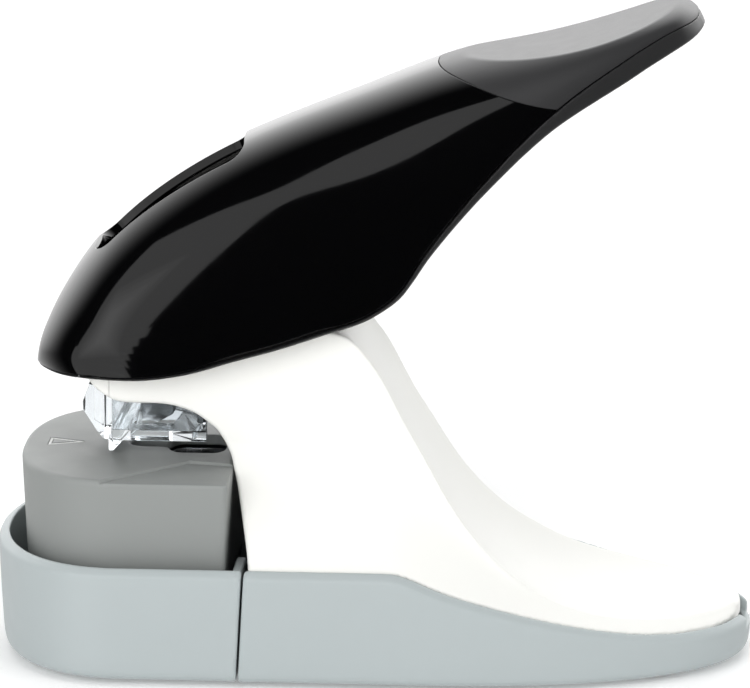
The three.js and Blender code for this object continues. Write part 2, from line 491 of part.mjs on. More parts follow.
// dark well under the window
const wellTop = (s) => crownT(s) - COVER_WALL - 0.5;
const wellS = leverS.filter((s) => s > toST([WINDOW.x0, 66.5])[0] - 4 && s < toST([WINDOW.x1, 83.6])[0] + 4.5);
let window_well = loft(wellS.map((s) => [[8.9, wellTop(s) - 1.4], [8.9, wellTop(s) - 2.6], [-8.9, wellTop(s) - 2.6], [-8.9, wellTop(s) - 1.4]].map(([y, q]) => fromST(s, y, q - 3.2))));
window_well = window_well.intersect(loft(innerS.map((s) => leverRing(s, COVER_WALL + 0.4, 0))));

// ---------------------------------------------------------------- punch unit
let punch_holder = side([[-39.6, 50.4], [-39.6, 44.6], [-24.2, 44.6], [-24.2, 56], [-31.6, 56], [-33, 50.4]], -4.05, 4.05);
punch_holder = cut(
  punch_holder,
  box(DRIVE.x - 2.5, DRIVE.x + 2.5, -6, 6, DRIVE.z - 1.8, DRIVE.z + 1.8),
  box(-38.3, -32.9, -1.6, 1.6, 43, 49.5),
  box(-28.6, -27.0, -5, 5, 43, 49.5),
);
const tongue_blade = side([[-37.9, 49], [-37.9, 36.6], [-35.6, 36.0], [-33.3, 37.2], [-33.3, 49]], -1.25, 1.25);
const slit_knife = cut(
  front([[-4.0, 49], [-4.4, 44], [-4.4, 37.4], [0, 36.0], [4.4, 37.4], [4.4, 44], [4.0, 49]], -28.3, -27.3),
  box(-30, -26, -2.4, 2.4, 38.2, 40.4),
);

// clear stripper and sight window
const guidePlan = [[-46.4, -3.4], [-42.6, -7.0], [-26.3, -7.0], [-26.3, 7.0], [-42.6, 7.0], [-46.4, 3.4]];
let clear_guide = side(
  [[-45.3, 47.0], [-45.3, 43.0], [-46.4, 40.3], [-46.4, 38.9], [-44.2, 36.3], [-42.9, 35.2], [-41.9, 35.0], [-41.9, 33.2], [-41.2, 33.2], [-39.6, 34.9], [-26.3, 34.9], [-26.3, 47.0]],
  -10, 10,
).intersect(plan(guidePlan, 30, 50));
clear_guide = cut(
  clear_guide,
  box(-41.4, -24, -5.2, 5.2, 36.3, 50),
  box(-38.9, -32.9, -2.0, 2.0, 30, 40),
  box(-28.9, -26.0, -4.8, 4.8, 30, 40),
  box(-32.2, -24, -10, 10, 44.4, 50),
  box(-48, -44.0, -10, 10, 43.5, 50),
);

// ---------------------------------------------------------------- pod (lower jaw)
function podRing(z, inset) {
  const d = inset + (POD.top - z) * POD.draft, pts = [], N = 12;
  const b = POD.half - d, a = POD.xm - POD.front - d;
  for (let i = 0; i <= 2 * N; i++) {
    const t = Math.PI / 2 + (Math.PI * i) / (2 * N);
    pts.push([POD.xm + a * pow(Math.cos(t), 2 / POD.n), b * pow(Math.sin(t), 2 / POD.n)]);
  }
  const xr = POD.rear - d;
  pts.push([xr - 0.8, -b], [xr, -b + 0.8], [xr, b - 0.8], [xr - 0.8, b]);
  return pts.map(([x, y]) => V(x, y, z));
}
const keyhole = (g) => [
  [-39.2 - g, 0], [-38.7 - g, -1.3 - g], [-37.4, -1.9 - g], [-32.9, -2.0 - g], [-32.4, -3.6 - g], [-31.4, -4.9 - g], [-30, -5.1 - g], [-23.6 + g, -5.1 - g],
  [-23.6 + g, 5.1 + g], [-30, 5.1 + g], [-31.4, 4.9 + g], [-32.4, 3.6 + g], [-32.9, 2.0 + g], [-37.4, 1.9 + g], [-38.7 - g, 1.3 + g],
];
let pod_housing = cut(
  loft([podRing(POD.bottom, 0), podRing(31.9, 0), podRing(32.4, 0.25), podRing(POD.top, 0.8)]),
  loft([podRing(POD.bottom - 1, 2), podRing(30.9, 2)]),
  plan(keyhole(0), 25, 40),
);
// shallow step on both rear shoulders of the table
for (const m of [-1, 1]) pod_housing = cut(pod_housing, plan([[-42.3, 22.9 * m], [-28.6, 10.2 * m], [-20, 11.9 * m], [-20, 26 * m], [-42.3, 26 * m]], 32.3, 34));
// raised outline arrow that shows which way the paper goes in
const tri = (k) => [[-52.4 + k * 0.8, 2.3 - k * 0.95], [-52.4 + k * 0.8, -2.3 + k * 0.95], [-46.2 - k * 1.9, 0]];
pod_housing = cut(pod_housing, cut(plan(tri(0), 32.35, 34), plan(tri(0.5), 32, 35)));
pod_housing = cut(pod_housing, box(-26.5, -20, -9.6, 9.6, 2, 13.2)); // the frame's lower arm enters here

let die_plate = cut(plan([[-43, -8], [-41, -10], [-24.4, -10], [-24.4, 10], [-41, 10], [-43, 8]], 28.9, 30.5), plan(keyhole(-0.25), 25, 40));
const die_block = cut(
  box(-44, -24.6, -6.9, 6.9, 13.2, 28.6),
  box(-41.5, -26.5, -2.9, 2.9, 15, 30),
  plan(keyhole(0.1), 26.4, 30),
  box(-33, -22, -5.4, 5.4, 24.6, 30),
  rodY(-31.6, 21.5, 1.35, -8, 8, 20),
);
// tongue folder: a rocker under the tongue blade, with a tucking finger at the back
const FOLDER = { x: -31.6, z: 21.5 };
let tongue_folder = side(
  [[-39.4, 26.6], [-39.4, 24.8], [-34.2, 20.6], [-33.2, 18.9], [-31.6, 18.5], [-29.9, 19.3], [-29.2, 21.2], [-29.4, 24.6], [-30.4, 26.2], [-31.2, 25.2], [-31.4, 23.9], [-35.2, 24.2]],
  -2.4, 2.4,
);
tongue_folder = cut(tongue_folder, rodY(FOLDER.x, FOLDER.z, 1.25, -8, 8, 20));
const folder_pin = rodY(FOLDER.x, FOLDER.z, 1.05, -6.6, 6.6, 20);

// ---------------------------------------------------------------- feet and screws
const rubberFoot = ([x, y]) => rodZ(x, y, 4.0, 0, 1.4, 28, 3.9);
function screw(x, y, zh, zt) {
  // pan head with a cross recess, pointing up
  return cut(join(rodZ(x, y, 2.35, zh, zh + 1.1, 18), rodZ(x, y, 1.25, zh + 1, zt, 14)), box(x - 1.3, x + 1.3, y - 0.25, y + 0.25, zh - 1, zh + 0.6), box(x - 0.25, x + 0.25, y - 1.3, y + 1.3, zh - 1, zh + 0.6));
}

// ---------------------------------------------------------------- materials and assembly
const mat = (color, roughness, metalness = 0, extra = {}) => new THREE.MeshStandardMaterial({ color, roughness, metalness, ...extra });
const MAT = {
  gloss_black: () => mat(0x0a0a0c, 0.12),
  pad: () => mat(0x2f2f31, 0.55),
  matte_black: () => mat(0x1a1a1b, 0.5),
  white: () => mat(0xf6f5f0, 0.35),
  base: () => mat(0xbbc4c6, 0.45),
  pod: () => mat(0x8d908c, 0.5),
  dark: () => mat(0x2b2c2e, 0.6),
  clear: () => mat(0xdfe8ee, 0.08, 0, { transparent: true, opacity: 0.35 }),
  steel: () => mat(0xb4b7ba, 0.35, 1),
  spring: () => mat(0x9a9da0, 0.3, 1),
  rubber: () => mat(0x3a3b3d, 0.85),
};

const stapler = new THREE.Group();
const groups = {};
function add(group, name, s, material) {
  if (!groups[group]) {
    groups[group] = new THREE.Group();
    stapler.add(groups[group]);
  }
  const m = new THREE.Mesh(geometryOf(s), MAT[material]());
  m.name = name;
  groups[group].add(m);
}

add("base", "base_rear", base_rear, "base");
add("base", "base_front", base_front, "base");
add("base", "floor_plate", floor_plate, "steel");
FEET.forEach((f, i) => add("base", "rubber_foot_" + (i + 1), rubberFoot(f), "rubber"));
BASE_SCREWS.forEach(([x, y], i) => add("base", "base_screw_" + (i + 1), screw(x, y, 1.0, 9), "steel"));
TRAY_SCREWS.forEach(([x, y], i) => add("base", "tray_screw_" + (i + 1), screw(x, y, 0.95, 3.2), "steel"));
add("body", "body_shell", body_shell, "white");
add("body", "throat_liner", throat_liner, "dark");
add("frame", "frame_plate_near", frame_plate_near, "steel");
add("frame", "frame_plate_far", frame_plate_far, "steel");
add("frame", "frame_spacer_top", frame_spacer_top, "steel");
add("frame", "frame_spacer_mid", frame_spacer_mid, "steel");
add("frame", "frame_spacer_low", frame_spacer_low, "steel");
add("frame", "pivot_pin", pivot_pin, "steel");
add("frame", "spring_seat", spring_seat, "steel");
add("frame", "return_spring", return_spring, "spring");
add("frame", "clear_guide", clear_guide, "clear");
add("lever", "lever_cover", lever_cover, "gloss_black");
add("lever", "palm_pad", palm_pad, "pad");
add("lever", "lever_underframe", lever_underframe, "matte_black");
add("lever", "lever_bracket", lever_bracket, "steel");
add("lever", "drive_pin", drive_pin, "steel");
add("lever", "window_well", window_well, "dark");
add("punch", "punch_holder", punch_holder, "dark");
add("punch", "tongue_blade", tongue_blade, "steel");
add("punch", "slit_knife", slit_knife, "steel");
add("pod", "pod_housing", pod_housing, "pod");
add("pod", "die_plate", die_plate, "steel");
add("pod", "die_block", die_block, "dark");
add("pod", "folder_pin", folder_pin, "steel");
add("folder", "tongue_folder", tongue_folder, "dark");

export default stapler;
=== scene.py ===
import math

import bpy
import bmesh
import numpy as np
from mathutils import Matrix, Vector
from mathutils.geometry import delaunay_2d_cdt


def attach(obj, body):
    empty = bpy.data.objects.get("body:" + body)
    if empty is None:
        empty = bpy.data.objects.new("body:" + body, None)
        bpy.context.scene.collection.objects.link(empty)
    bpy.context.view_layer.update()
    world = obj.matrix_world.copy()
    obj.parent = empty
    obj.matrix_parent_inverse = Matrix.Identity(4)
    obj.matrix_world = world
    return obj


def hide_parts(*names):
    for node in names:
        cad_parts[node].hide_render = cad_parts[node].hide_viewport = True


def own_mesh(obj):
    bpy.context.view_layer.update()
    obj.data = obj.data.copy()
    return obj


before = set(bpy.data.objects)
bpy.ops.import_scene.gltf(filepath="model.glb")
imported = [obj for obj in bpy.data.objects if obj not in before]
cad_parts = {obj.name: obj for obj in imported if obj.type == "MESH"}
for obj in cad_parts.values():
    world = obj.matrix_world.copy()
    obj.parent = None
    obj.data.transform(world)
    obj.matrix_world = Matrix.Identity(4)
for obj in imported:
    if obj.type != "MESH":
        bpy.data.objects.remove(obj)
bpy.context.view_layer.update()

MM = 0.001
scene = bpy.context.scene

# ------------------------------------------------------------------ dimensions, in mm, as in the CAD source
FRONT_X, HEEL_X, FOOT_GAP = -60.2, 60.65, 0.8
BASE_XM, BASE_HALF, BASE_N = 8.0, 26.8, 2.2
TRAY_XM, TRAY_N = -38.5, 2.15
WALL = 1.6
SEAM_TOP, SEAM_BOTTOM = -18.9, -20.0
RIM_Z = [[-61, 19.4], [4, 19.4], [6.5, 18.8], [9.3, 17.6], [13, 16.1], [16.8, 14.9], [24.1, 12.8], [31.5, 10.9],
         [39, 9.3], [44.6, 8.4], [50, 7.9], [55, 7.7], [61, 7.7]]
SKIN = 1.6
CREASE = [[-19.8, 11.3, 54.6], [-12, 11.4, 54.6], [-6, 11.5, 54.4], [-3.1, 11.5, 53.4], [-0.6, 11.6, 50.6], [1.6, 11.6, 47.6],
          [5, 11.75, 40.8], [9, 12.8, 34], [12.6, 14.1, 27.8], [17, 15.7, 22.1], [21, 17, 18.3], [25, 18, 15.5],
          [29, 18.5, 13.3], [33, 18.5, 11.8], [37, 18.2, 10.8], [44.5, 15.8, 9.7], [51, 11.6, 9.3], [55, 7.6, 9.2], [57.6, 3, 9.1]]
CHANNEL = [[-19.8, 0], [-9, 0], [-6, 0.5], [-3, 1.2], [1.6, 2.6], [5, 3.2], [12.6, 3.6], [21, 3.2], [29, 2.5], [37, 1.7],
           [44.5, 1.1], [51, 0.7], [57.6, 0.4]]
THROAT = [[-24.1, 38], [-22.9, 36.1], [-21.9, 34.1], [-21.4, 32], [-20.7, 29.6], [-20.1, 27], [-19.5, 24.5], [-18.8, 21.8], [-18.2, 19], [-18.1, 16]]
ARM_UNDER = [[-46.9, 50.6], [-46.6, 48.4], [-45.8, 46.6], [-44.8, 45.5], [-43.8, 44.6], [-42.2, 43.4], [-40.6, 42.6], [-39, 42.25], [-36.9, 42.2],
             [-33.1, 42.2], [-31, 41.9], [-29, 41.3], [-27.4, 40.6], [-26, 39.6], [-25, 38.8]]
PIVOT = (-41.5, 50.8, 1.75)
TILT = math.radians(28.7)
COVER_WALL = 1.5
CROWN = [[-53.8, 46.4], [-53.3, 49.6], [-52, 53.2], [-50.1, 57.4], [-48, 60.9], [-46, 64.0], [-44, 66.6], [-42, 68.7], [-38.1, 72.3],
         [-34.2, 75.3], [-30.3, 78.0], [-26.5, 80.3], [-22.6, 82.5], [-16.9, 85.1], [-9.3, 88.3], [-1.7, 91.3],
         [5.9, 94.5], [10, 96.2], [15, 97.7], [20, 99.0], [28, 101.0], [34, 102.7], [40, 104.3], [45, 105.5], [48, 105.95],
         [49.8, 105.5], [50.7, 104.2]]
EDGE = [[-53.8, 46.5, 0], [-53.3, 46.8, 3.6], [-52, 46.9, 6.9], [-50, 47.0, 10.1], [-47.5, 47.1, 12.5], [-44.5, 47.2, 14.2],
        [-40.3, 47.3, 15.4], [-35, 47.7, 16.2], [-28, 49.1, 16.7], [-21.8, 51.1, 17.0], [-14.4, 53.3, 17.0], [-7.7, 55.6, 16.8],
        [0, 58.4, 16.2], [3.8, 61.0, 15.9], [6.5, 64.5, 15.7], [8.4, 67.6, 15.5], [12.1, 72.6, 15.2], [15.8, 77.2, 15],
        [19.5, 81.5, 14.8], [23.0, 85.4, 14.6], [27.9, 90.2, 14.4], [33.5, 94.8, 14.0], [39.1, 98.7, 13.2], [42, 100.6, 12.5],
        [44.8, 102.2, 11.2], [47.7, 103.5, 9.3], [49.4, 103.9, 7], [50.4, 104.1, 4], [50.7, 104.2, 0]]
BAND = [[-26, 0.7], [30, 0.8], [36, 1.0], [50, 1.4], [60, 1.9], [67.5, 2.3], [75, 3.0], [82, 3.3], [88, 3.3], [91, 3.1], [93, 2.8], [94.5, 2.0]]
SEAM = [[8.4, 100], [8.8, 96.8], [10.4, 95.9], [13.4, 95.0], [17.3, 93.9], [22.1, 92.5], [26.4, 91.6], [29.3, 91.2], [33, 90.9]]
SCOOP = (12.56, 171.3, 74.0)
WIN_X0, WIN_X1, WIN_HALF, WIN_R = -44.3, -20.6, 7.3, 3.2
POD = dict(top=32.6, bottom=3.6, xm=-38.0, front=-56.2, half=22.5, rear=-21.5, n=2.4, draft=0.04)
KEYHOLE = [(-39.2, 0), (-38.7, -1.3), (-37.4, -1.9), (-32.9, -2.0), (-32.4, -3.6), (-31.4, -4.9), (-30, -5.1), (-23.6, -5.1),
           (-23.6, 5.1), (-30, 5.1), (-31.4, 4.9), (-32.4, 3.6), (-32.9, 2.0), (-37.4, 1.9), (-38.7, 1.3)]
FEET = [(-48, -12), (-48, 12), (44, -11), (44, 11)]
BASE_SCREWS = [(-10, -17), (-10, 17), (24, 0)]
TRAY_SCREWS = [(-26, -17), (-26, 17)]


# ------------------------------------------------------------------ curves
def curve(rows, k=1):
    """Monotone cubic through rows of [x, a, b, ...]."""
    x = np.array([r[0] for r in rows], float)
    y = np.array([r[k] for r in rows], float)
    h = np.diff(x)
    d = np.diff(y) / h
    m = np.zeros(len(x))
    m[0], m[-1] = d[0], d[-1]
    for i in range(1, len(x) - 1):
        if d[i - 1] * d[i] > 0:
            w1, w2 = 2 * h[i] + h[i - 1], h[i] + 2 * h[i - 1]
            m[i] = (w1 + w2) / (w1 / d[i - 1] + w2 / d[i])

    def f(q):
        q = np.clip(np.asarray(q, float), x[0], x[-1])
        i = np.clip(np.searchsorted(x, q, side="right") - 1, 0, len(x) - 2)
        t = (q - x[i]) / h[i]
        t2, t3 = t * t, t * t * t
        return (2 * t3 - 3 * t2 + 1) * y[i] + (t3 - 2 * t2 + t) * h[i] * m[i] + (-2 * t3 + 3 * t2) * y[i + 1] + (t3 - t2) * h[i] * m[i + 1]
    return f


class Table:
    """A curve sampled finely and smoothed, with its slope."""

    def __init__(self, f, a, b, sigma, step=0.05):
        self.x = np.arange(a, b + step / 2, step)
        y = f(self.x)
        if sigma:
            n = int(3 * sigma / step)
            k = np.exp(-0.5 * (np.arange(-n, n + 1) * step / sigma) ** 2)
            k /= k.sum()
            left = 2 * y[0] - y[1:n + 1][::-1]
            right = 2 * y[-1] - y[-n - 1:-1][::-1]
            y = np.convolve(np.concatenate([left, y, right]), k, "valid")
        self.y = y
        self.d = np.gradient(y, self.x)

    def __call__(self, q):
        return np.interp(q, self.x, self.y)

    def slope(self, q):
        return np.interp(q, self.x, self.d)


def smin(a, b, k):
    h = np.maximum(k - np.abs(a - b), 0)
    return np.minimum(a, b) - h * h / (4 * k)


def smax(a, b, k):
    h = np.maximum(k - np.abs(a - b), 0)
    return np.maximum(a, b) + h * h / (4 * k)


# ------------------------------------------------------------------ meshes
def new_mesh(name, verts, faces, normals=None, smooth=True, scale=MM):
    me = bpy.data.meshes.new(name)
    verts = np.asarray(verts, float) * scale
    me.from_pydata([tuple(v) for v in verts.tolist()], [], [tuple(f) for f in faces])
    me.update()
    if smooth:
        me.polygons.foreach_set("use_smooth", [True] * len(me.polygons))
    if normals is not None:
        n = np.asarray(normals, float)
        n = n / np.maximum(np.linalg.norm(n, axis=1), 1e-12)[:, None]
        me.normals_split_custom_set_from_vertices([tuple(q) for q in n.tolist()])
    o = bpy.data.objects.new(name, me)
    scene.collection.objects.link(o)
    return o


def quads_mesh(name, verts, quads, normals=None):
    """Fast build for large quad meshes."""
    me = bpy.data.meshes.new(name)
    verts = np.asarray(verts, np.float32) * np.float32(MM)
    quads = np.asarray(quads, np.int32)
    me.vertices.add(len(verts))
    me.vertices.foreach_set("co", verts.ravel())
    me.loops.add(quads.size)
    me.loops.foreach_set("vertex_index", quads.ravel())
    me.polygons.add(len(quads))
    me.polygons.foreach_set("loop_start", np.arange(0, quads.size, 4, dtype=np.int32))
    me.update(calc_edges=True)
    me.validate()
    me.polygons.foreach_set("use_smooth", [True] * len(me.polygons))
    if normals is not None and len(me.vertices) == len(normals):
        me.normals_split_custom_set_from_vertices([tuple(q) for q in np.asarray(normals, float).tolist()])
    o = bpy.data.objects.new(name, me)
    scene.collection.objects.link(o)
    return o


def surface_nets(f, lo, hi, h, keep=None):
    """Quad mesh of the zero level of f (negative inside) on a grid of pitch h, then moved onto the level."""
    ax = [np.arange(lo[i], hi[i] + h, h) for i in range(3)]
    X, Y, Z = np.meshgrid(*ax, indexing="ij", sparse=True)
    F = np.asarray(f(X, Y, Z), np.float32)
    F = np.broadcast_to(F, (len(ax[0]), len(ax[1]), len(ax[2]))).copy()
    F[F == 0] = 1e-6
    ins = F < 0
    s = np.zeros(tuple(n - 1 for n in F.shape), np.int8)
    for a in (0, 1):
        for b in (0, 1):
            for c in (0, 1):
                s += ins[a:F.shape[0] - 1 + a, b:F.shape[1] - 1 + b, c:F.shape[2] - 1 + c]
    act = (s > 0) & (s < 8)
    I, J, K = np.nonzero(act)
    index = np.full(act.shape, -1, np.int32)
    index[I, J, K] = np.arange(len(I))
    acc = np.zeros((len(I), 3))
    cnt = np.zeros(len(I))
    corners = [(a, b, c) for a in (0, 1) for b in (0, 1) for c in (0, 1)]
    for p in corners:
        for axis in range(3):
            if p[axis]:
                continue
            q = list(p)
            q[axis] = 1
            f0 = F[I + p[0], J + p[1], K + p[2]]
            f1 = F[I + q[0], J + q[1], K + q[2]]
            m = (f0 < 0) != (f1 < 0)
            t = np.where(m, f0 / np.where(m, f0 - f1, 1), 0)
            for k in range(3):
                acc[:, k] += np.where(m, p[k] + (t if k == axis else 0), 0)
            cnt += m
    acc /= cnt[:, None]
    V = np.stack([ax[0][I] + acc[:, 0] * h, ax[1][J] + acc[:, 1] * h, ax[2][K] + acc[:, 2] * h], 1)
    quads = []
    n0, n1, n2 = ins.shape
    for axis, (sl0, sl1) in enumerate([
        ((slice(0, n0 - 1), slice(1, n1 - 1), slice(1, n2 - 1)), (slice(1, n0), slice(1, n1 - 1), slice(1, n2 - 1))),
        ((slice(1, n0 - 1), slice(0, n1 - 1), slice(1, n2 - 1)), (slice(1, n0 - 1), slice(1, n1), slice(1, n2 - 1))),
        ((slice(1, n0 - 1), slice(1, n1 - 1), slice(0, n2 - 1)), (slice(1, n0 - 1), slice(1, n1 - 1), slice(1, n2))),
    ]):
        a, b = ins[sl0], ins[sl1]
        for first in (True, False):
            m = (a & ~b) if first else (~a & b)
            i, j, k = np.nonzero(m)
            i = i + (0 if axis == 0 else 1)
            j = j + (0 if axis == 1 else 1)
            k = k + (0 if axis == 2 else 1)
            if axis == 0:
                c = [index[i, j - 1, k - 1], index[i, j, k - 1], index[i, j, k], index[i, j - 1, k]]
            elif axis == 1:
                c = [index[i - 1, j, k - 1], index[i - 1, j, k], index[i, j, k], index[i, j, k - 1]]
            else:
                c = [index[i - 1, j - 1, k], index[i, j - 1, k], index[i, j, k], index[i - 1, j, k]]
            c = np.stack(c, 1)
            quads.append(c if first else c[:, ::-1])
    Q = np.concatenate(quads)

    def ff(P):
        return np.asarray(f(P[:, 0], P[:, 1], P[:, 2]), float)

    def grad(P, e=0.02):
        g = np.zeros_like(P)
        for k in range(3):
            d = np.zeros(3)
            d[k] = e
            g[:, k] = (ff(P + d) - ff(P - d)) / (2 * e)
        return g
    start = V.copy()
    for _ in range(3):
        g = grad(V)
        V = V - (ff(V) / np.maximum((g * g).sum(1), 0.05))[:, None] * g
        off = V - start
        far = np.linalg.norm(off, axis=1) / (0.9 * h)
        V = start + off / np.maximum(far, 1)[:, None]
    N = grad(V, 0.04)
    N /= np.maximum(np.linalg.norm(N, axis=1), 1e-9)[:, None]
    return V, Q, N


def implicit(name, f, lo, hi, h):
    V, Q, N = surface_nets(f, lo, hi, h)
    return quads_mesh(name, V, Q, N)


def polygon_sdf(points):
    """Signed distance in a plane to a closed polygon, negative inside; sampled on a grid and read back smoothly."""
    P = np.array(points, float)
    lo, hi = P.min(0) - 3, P.max(0) + 3
    step = 0.125
    gx, gz = np.arange(lo[0], hi[0], step), np.arange(lo[1], hi[1], step)
    X, Z = np.meshgrid(gx, gz, indexing="ij")
    best = np.full(X.shape, 1e9)
    inside = np.zeros(X.shape, bool)
    for i in range(len(P)):
        a, b = P[i], P[(i + 1) % len(P)]
        e = b - a
        t = np.clip(((X - a[0]) * e[0] + (Z - a[1]) * e[1]) / max(e @ e, 1e-12), 0, 1)
        best = np.minimum(best, (X - a[0] - t * e[0]) ** 2 + (Z - a[1] - t * e[1]) ** 2)
        c = (a[1] > Z) != (b[1] > Z)
        with np.errstate(divide="ignore", invalid="ignore"):
            inside ^= c & (X < (b[0] - a[0]) * (Z - a[1]) / (b[1] - a[1]) + a[0])
    D = np.sqrt(best) * np.where(inside, -1, 1)

    def f(x, z):
        x, z = np.broadcast_arrays(np.asarray(x, float), np.asarray(z, float))
        u = np.clip((x - gx[0]) / step, 0, len(gx) - 1.001)
        v = np.clip((z - gz[0]) / step, 0, len(gz) - 1.001)
        i, j = u.astype(int), v.astype(int)
        p, q = u - i, v - j
        return (D[i, j] * (1 - p) + D[i + 1, j] * p) * (1 - q) + (D[i, j + 1] * (1 - p) + D[i + 1, j + 1] * p) * q
    return f


def rounded_path(points, times=2, closed=True):
    """Corner cutting of a polygon."""
    P = np.array(points, float)
    for _ in range(times):
        N = np.roll(P, -1, 0)
        A, B = P * 0.8 + N * 0.2, P * 0.2 + N * 0.8
        P = np.stack([A, B], 1).reshape(-1, 2)
    return P


def bevelled(o, width, segments=2, angle=30):
    m = o.modifiers.new("edge", "BEVEL")
    m.width = width * MM
    m.segments = segments
    m.limit_method = "ANGLE"
    m.angle_limit = math.radians(angle)
    m.use_clamp_overlap = True
    m.harden_normals = False
    apply(o)
    return o


def apply(o):
    dg = bpy.context.evaluated_depsgraph_get()
    me = bpy.data.meshes.new_from_object(o.evaluated_get(dg))
    old = o.data
    o.modifiers.clear()
    o.data = me
    bpy.data.meshes.remove(old)


def auto_smooth(o, deg=32):
    me = o.data
    me.polygons.foreach_set("use_smooth", [True] * len(me.polygons))
    me.set_sharp_from_angle(angle=math.radians(deg))


def refined(node, name, width=0.2, segments=2, angle=28):
    """The CAD solid's own shape with its flat faces made whole and its edges rounded."""
    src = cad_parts[node].data
    bm = bmesh.new()
    bm.from_mesh(src)
    bmesh.ops.remove_doubles(bm, verts=bm.verts, dist=1e-6)
    bmesh.ops.dissolve_limit(bm, angle_limit=math.radians(1.0), verts=bm.verts, edges=bm.edges, use_dissolve_boundaries=False)
    me = bpy.data.meshes.new(name)
    bm.to_mesh(me)
    bm.free()
    o = bpy.data.objects.new(name, me)
    scene.collection.objects.link(o)
    if width:
        bevelled(o, width, segments, angle)
    auto_smooth(o, 34)
    return o


def lathe(name, profile, centre, axis="Z", seg=72):
    """profile rows of (radius, height), closed on the axis."""
    verts, faces = [], []
    n = len(profile)
    for i in range(seg):
        a = 2 * math.pi * i / seg
        for r, z in profile:
            verts.append((r * math.cos(a), r * math.sin(a), z))
    for i in range(seg):
        j = (i + 1) % seg
        for k in range(n - 1):
            r0, r1 = profile[k][0], profile[k + 1][0]
            a, b, c, d = i * n + k, j * n + k, j * n + k + 1, i * n + k + 1
            if r0 < 1e-6 and r1 < 1e-6:
                continue
            faces.append((a, b, c, d))
    V = np.array(verts)
    if axis == "Y":
        V = V[:, [0, 2, 1]] * np.array([1, 1, -1])
    V = V + np.array(centre)
    me = bpy.data.meshes.new(name)
    me.from_pydata([tuple(v * MM) for v in V], [], faces)
    bm = bmesh.new()
    bm.from_mesh(me)
    bmesh.ops.remove_doubles(bm, verts=bm.verts, dist=1e-7)
    bmesh.ops.dissolve_degenerate(bm, edges=bm.edges, dist=1e-8)
    bmesh.ops.recalc_face_normals(bm, faces=bm.faces)
    bm.to_mesh(me)
    bm.free()
    o = bpy.data.objects.new(name, me)
    scene.collection.objects.link(o)
    auto_smooth(o, 35)
    return o


def rod_profile(r, z0, z1, c=0.2):
    p = [(0, z0)]
    for i in range(4):
        a = math.pi / 2 * i / 3
        p.append((r - c + c * math.sin(a), z0 + c - c * math.cos(a)))
    for i in range(4):
        a = math.pi / 2 * i / 3
        p.append((r - c + c * math.cos(a), z1 - c + c * math.sin(a)))
    p.append((0, z1))
    return p


# ------------------------------------------------------------------ materials
def principled(name, color, roughness, metallic=0.0, spec=0.5):
    m = bpy.data.materials.new(name)
    m.use_nodes = True
    nt = m.node_tree
    b = nt.nodes["Principled BSDF"]
    b.inputs["Base Color"].default_value = (*color, 1)
    b.inputs["Roughness"].default_value = roughness
    b.inputs["Metallic"].default_value = metallic
    b.inputs["Specular IOR Level"].default_value = spec
    return m, nt, b


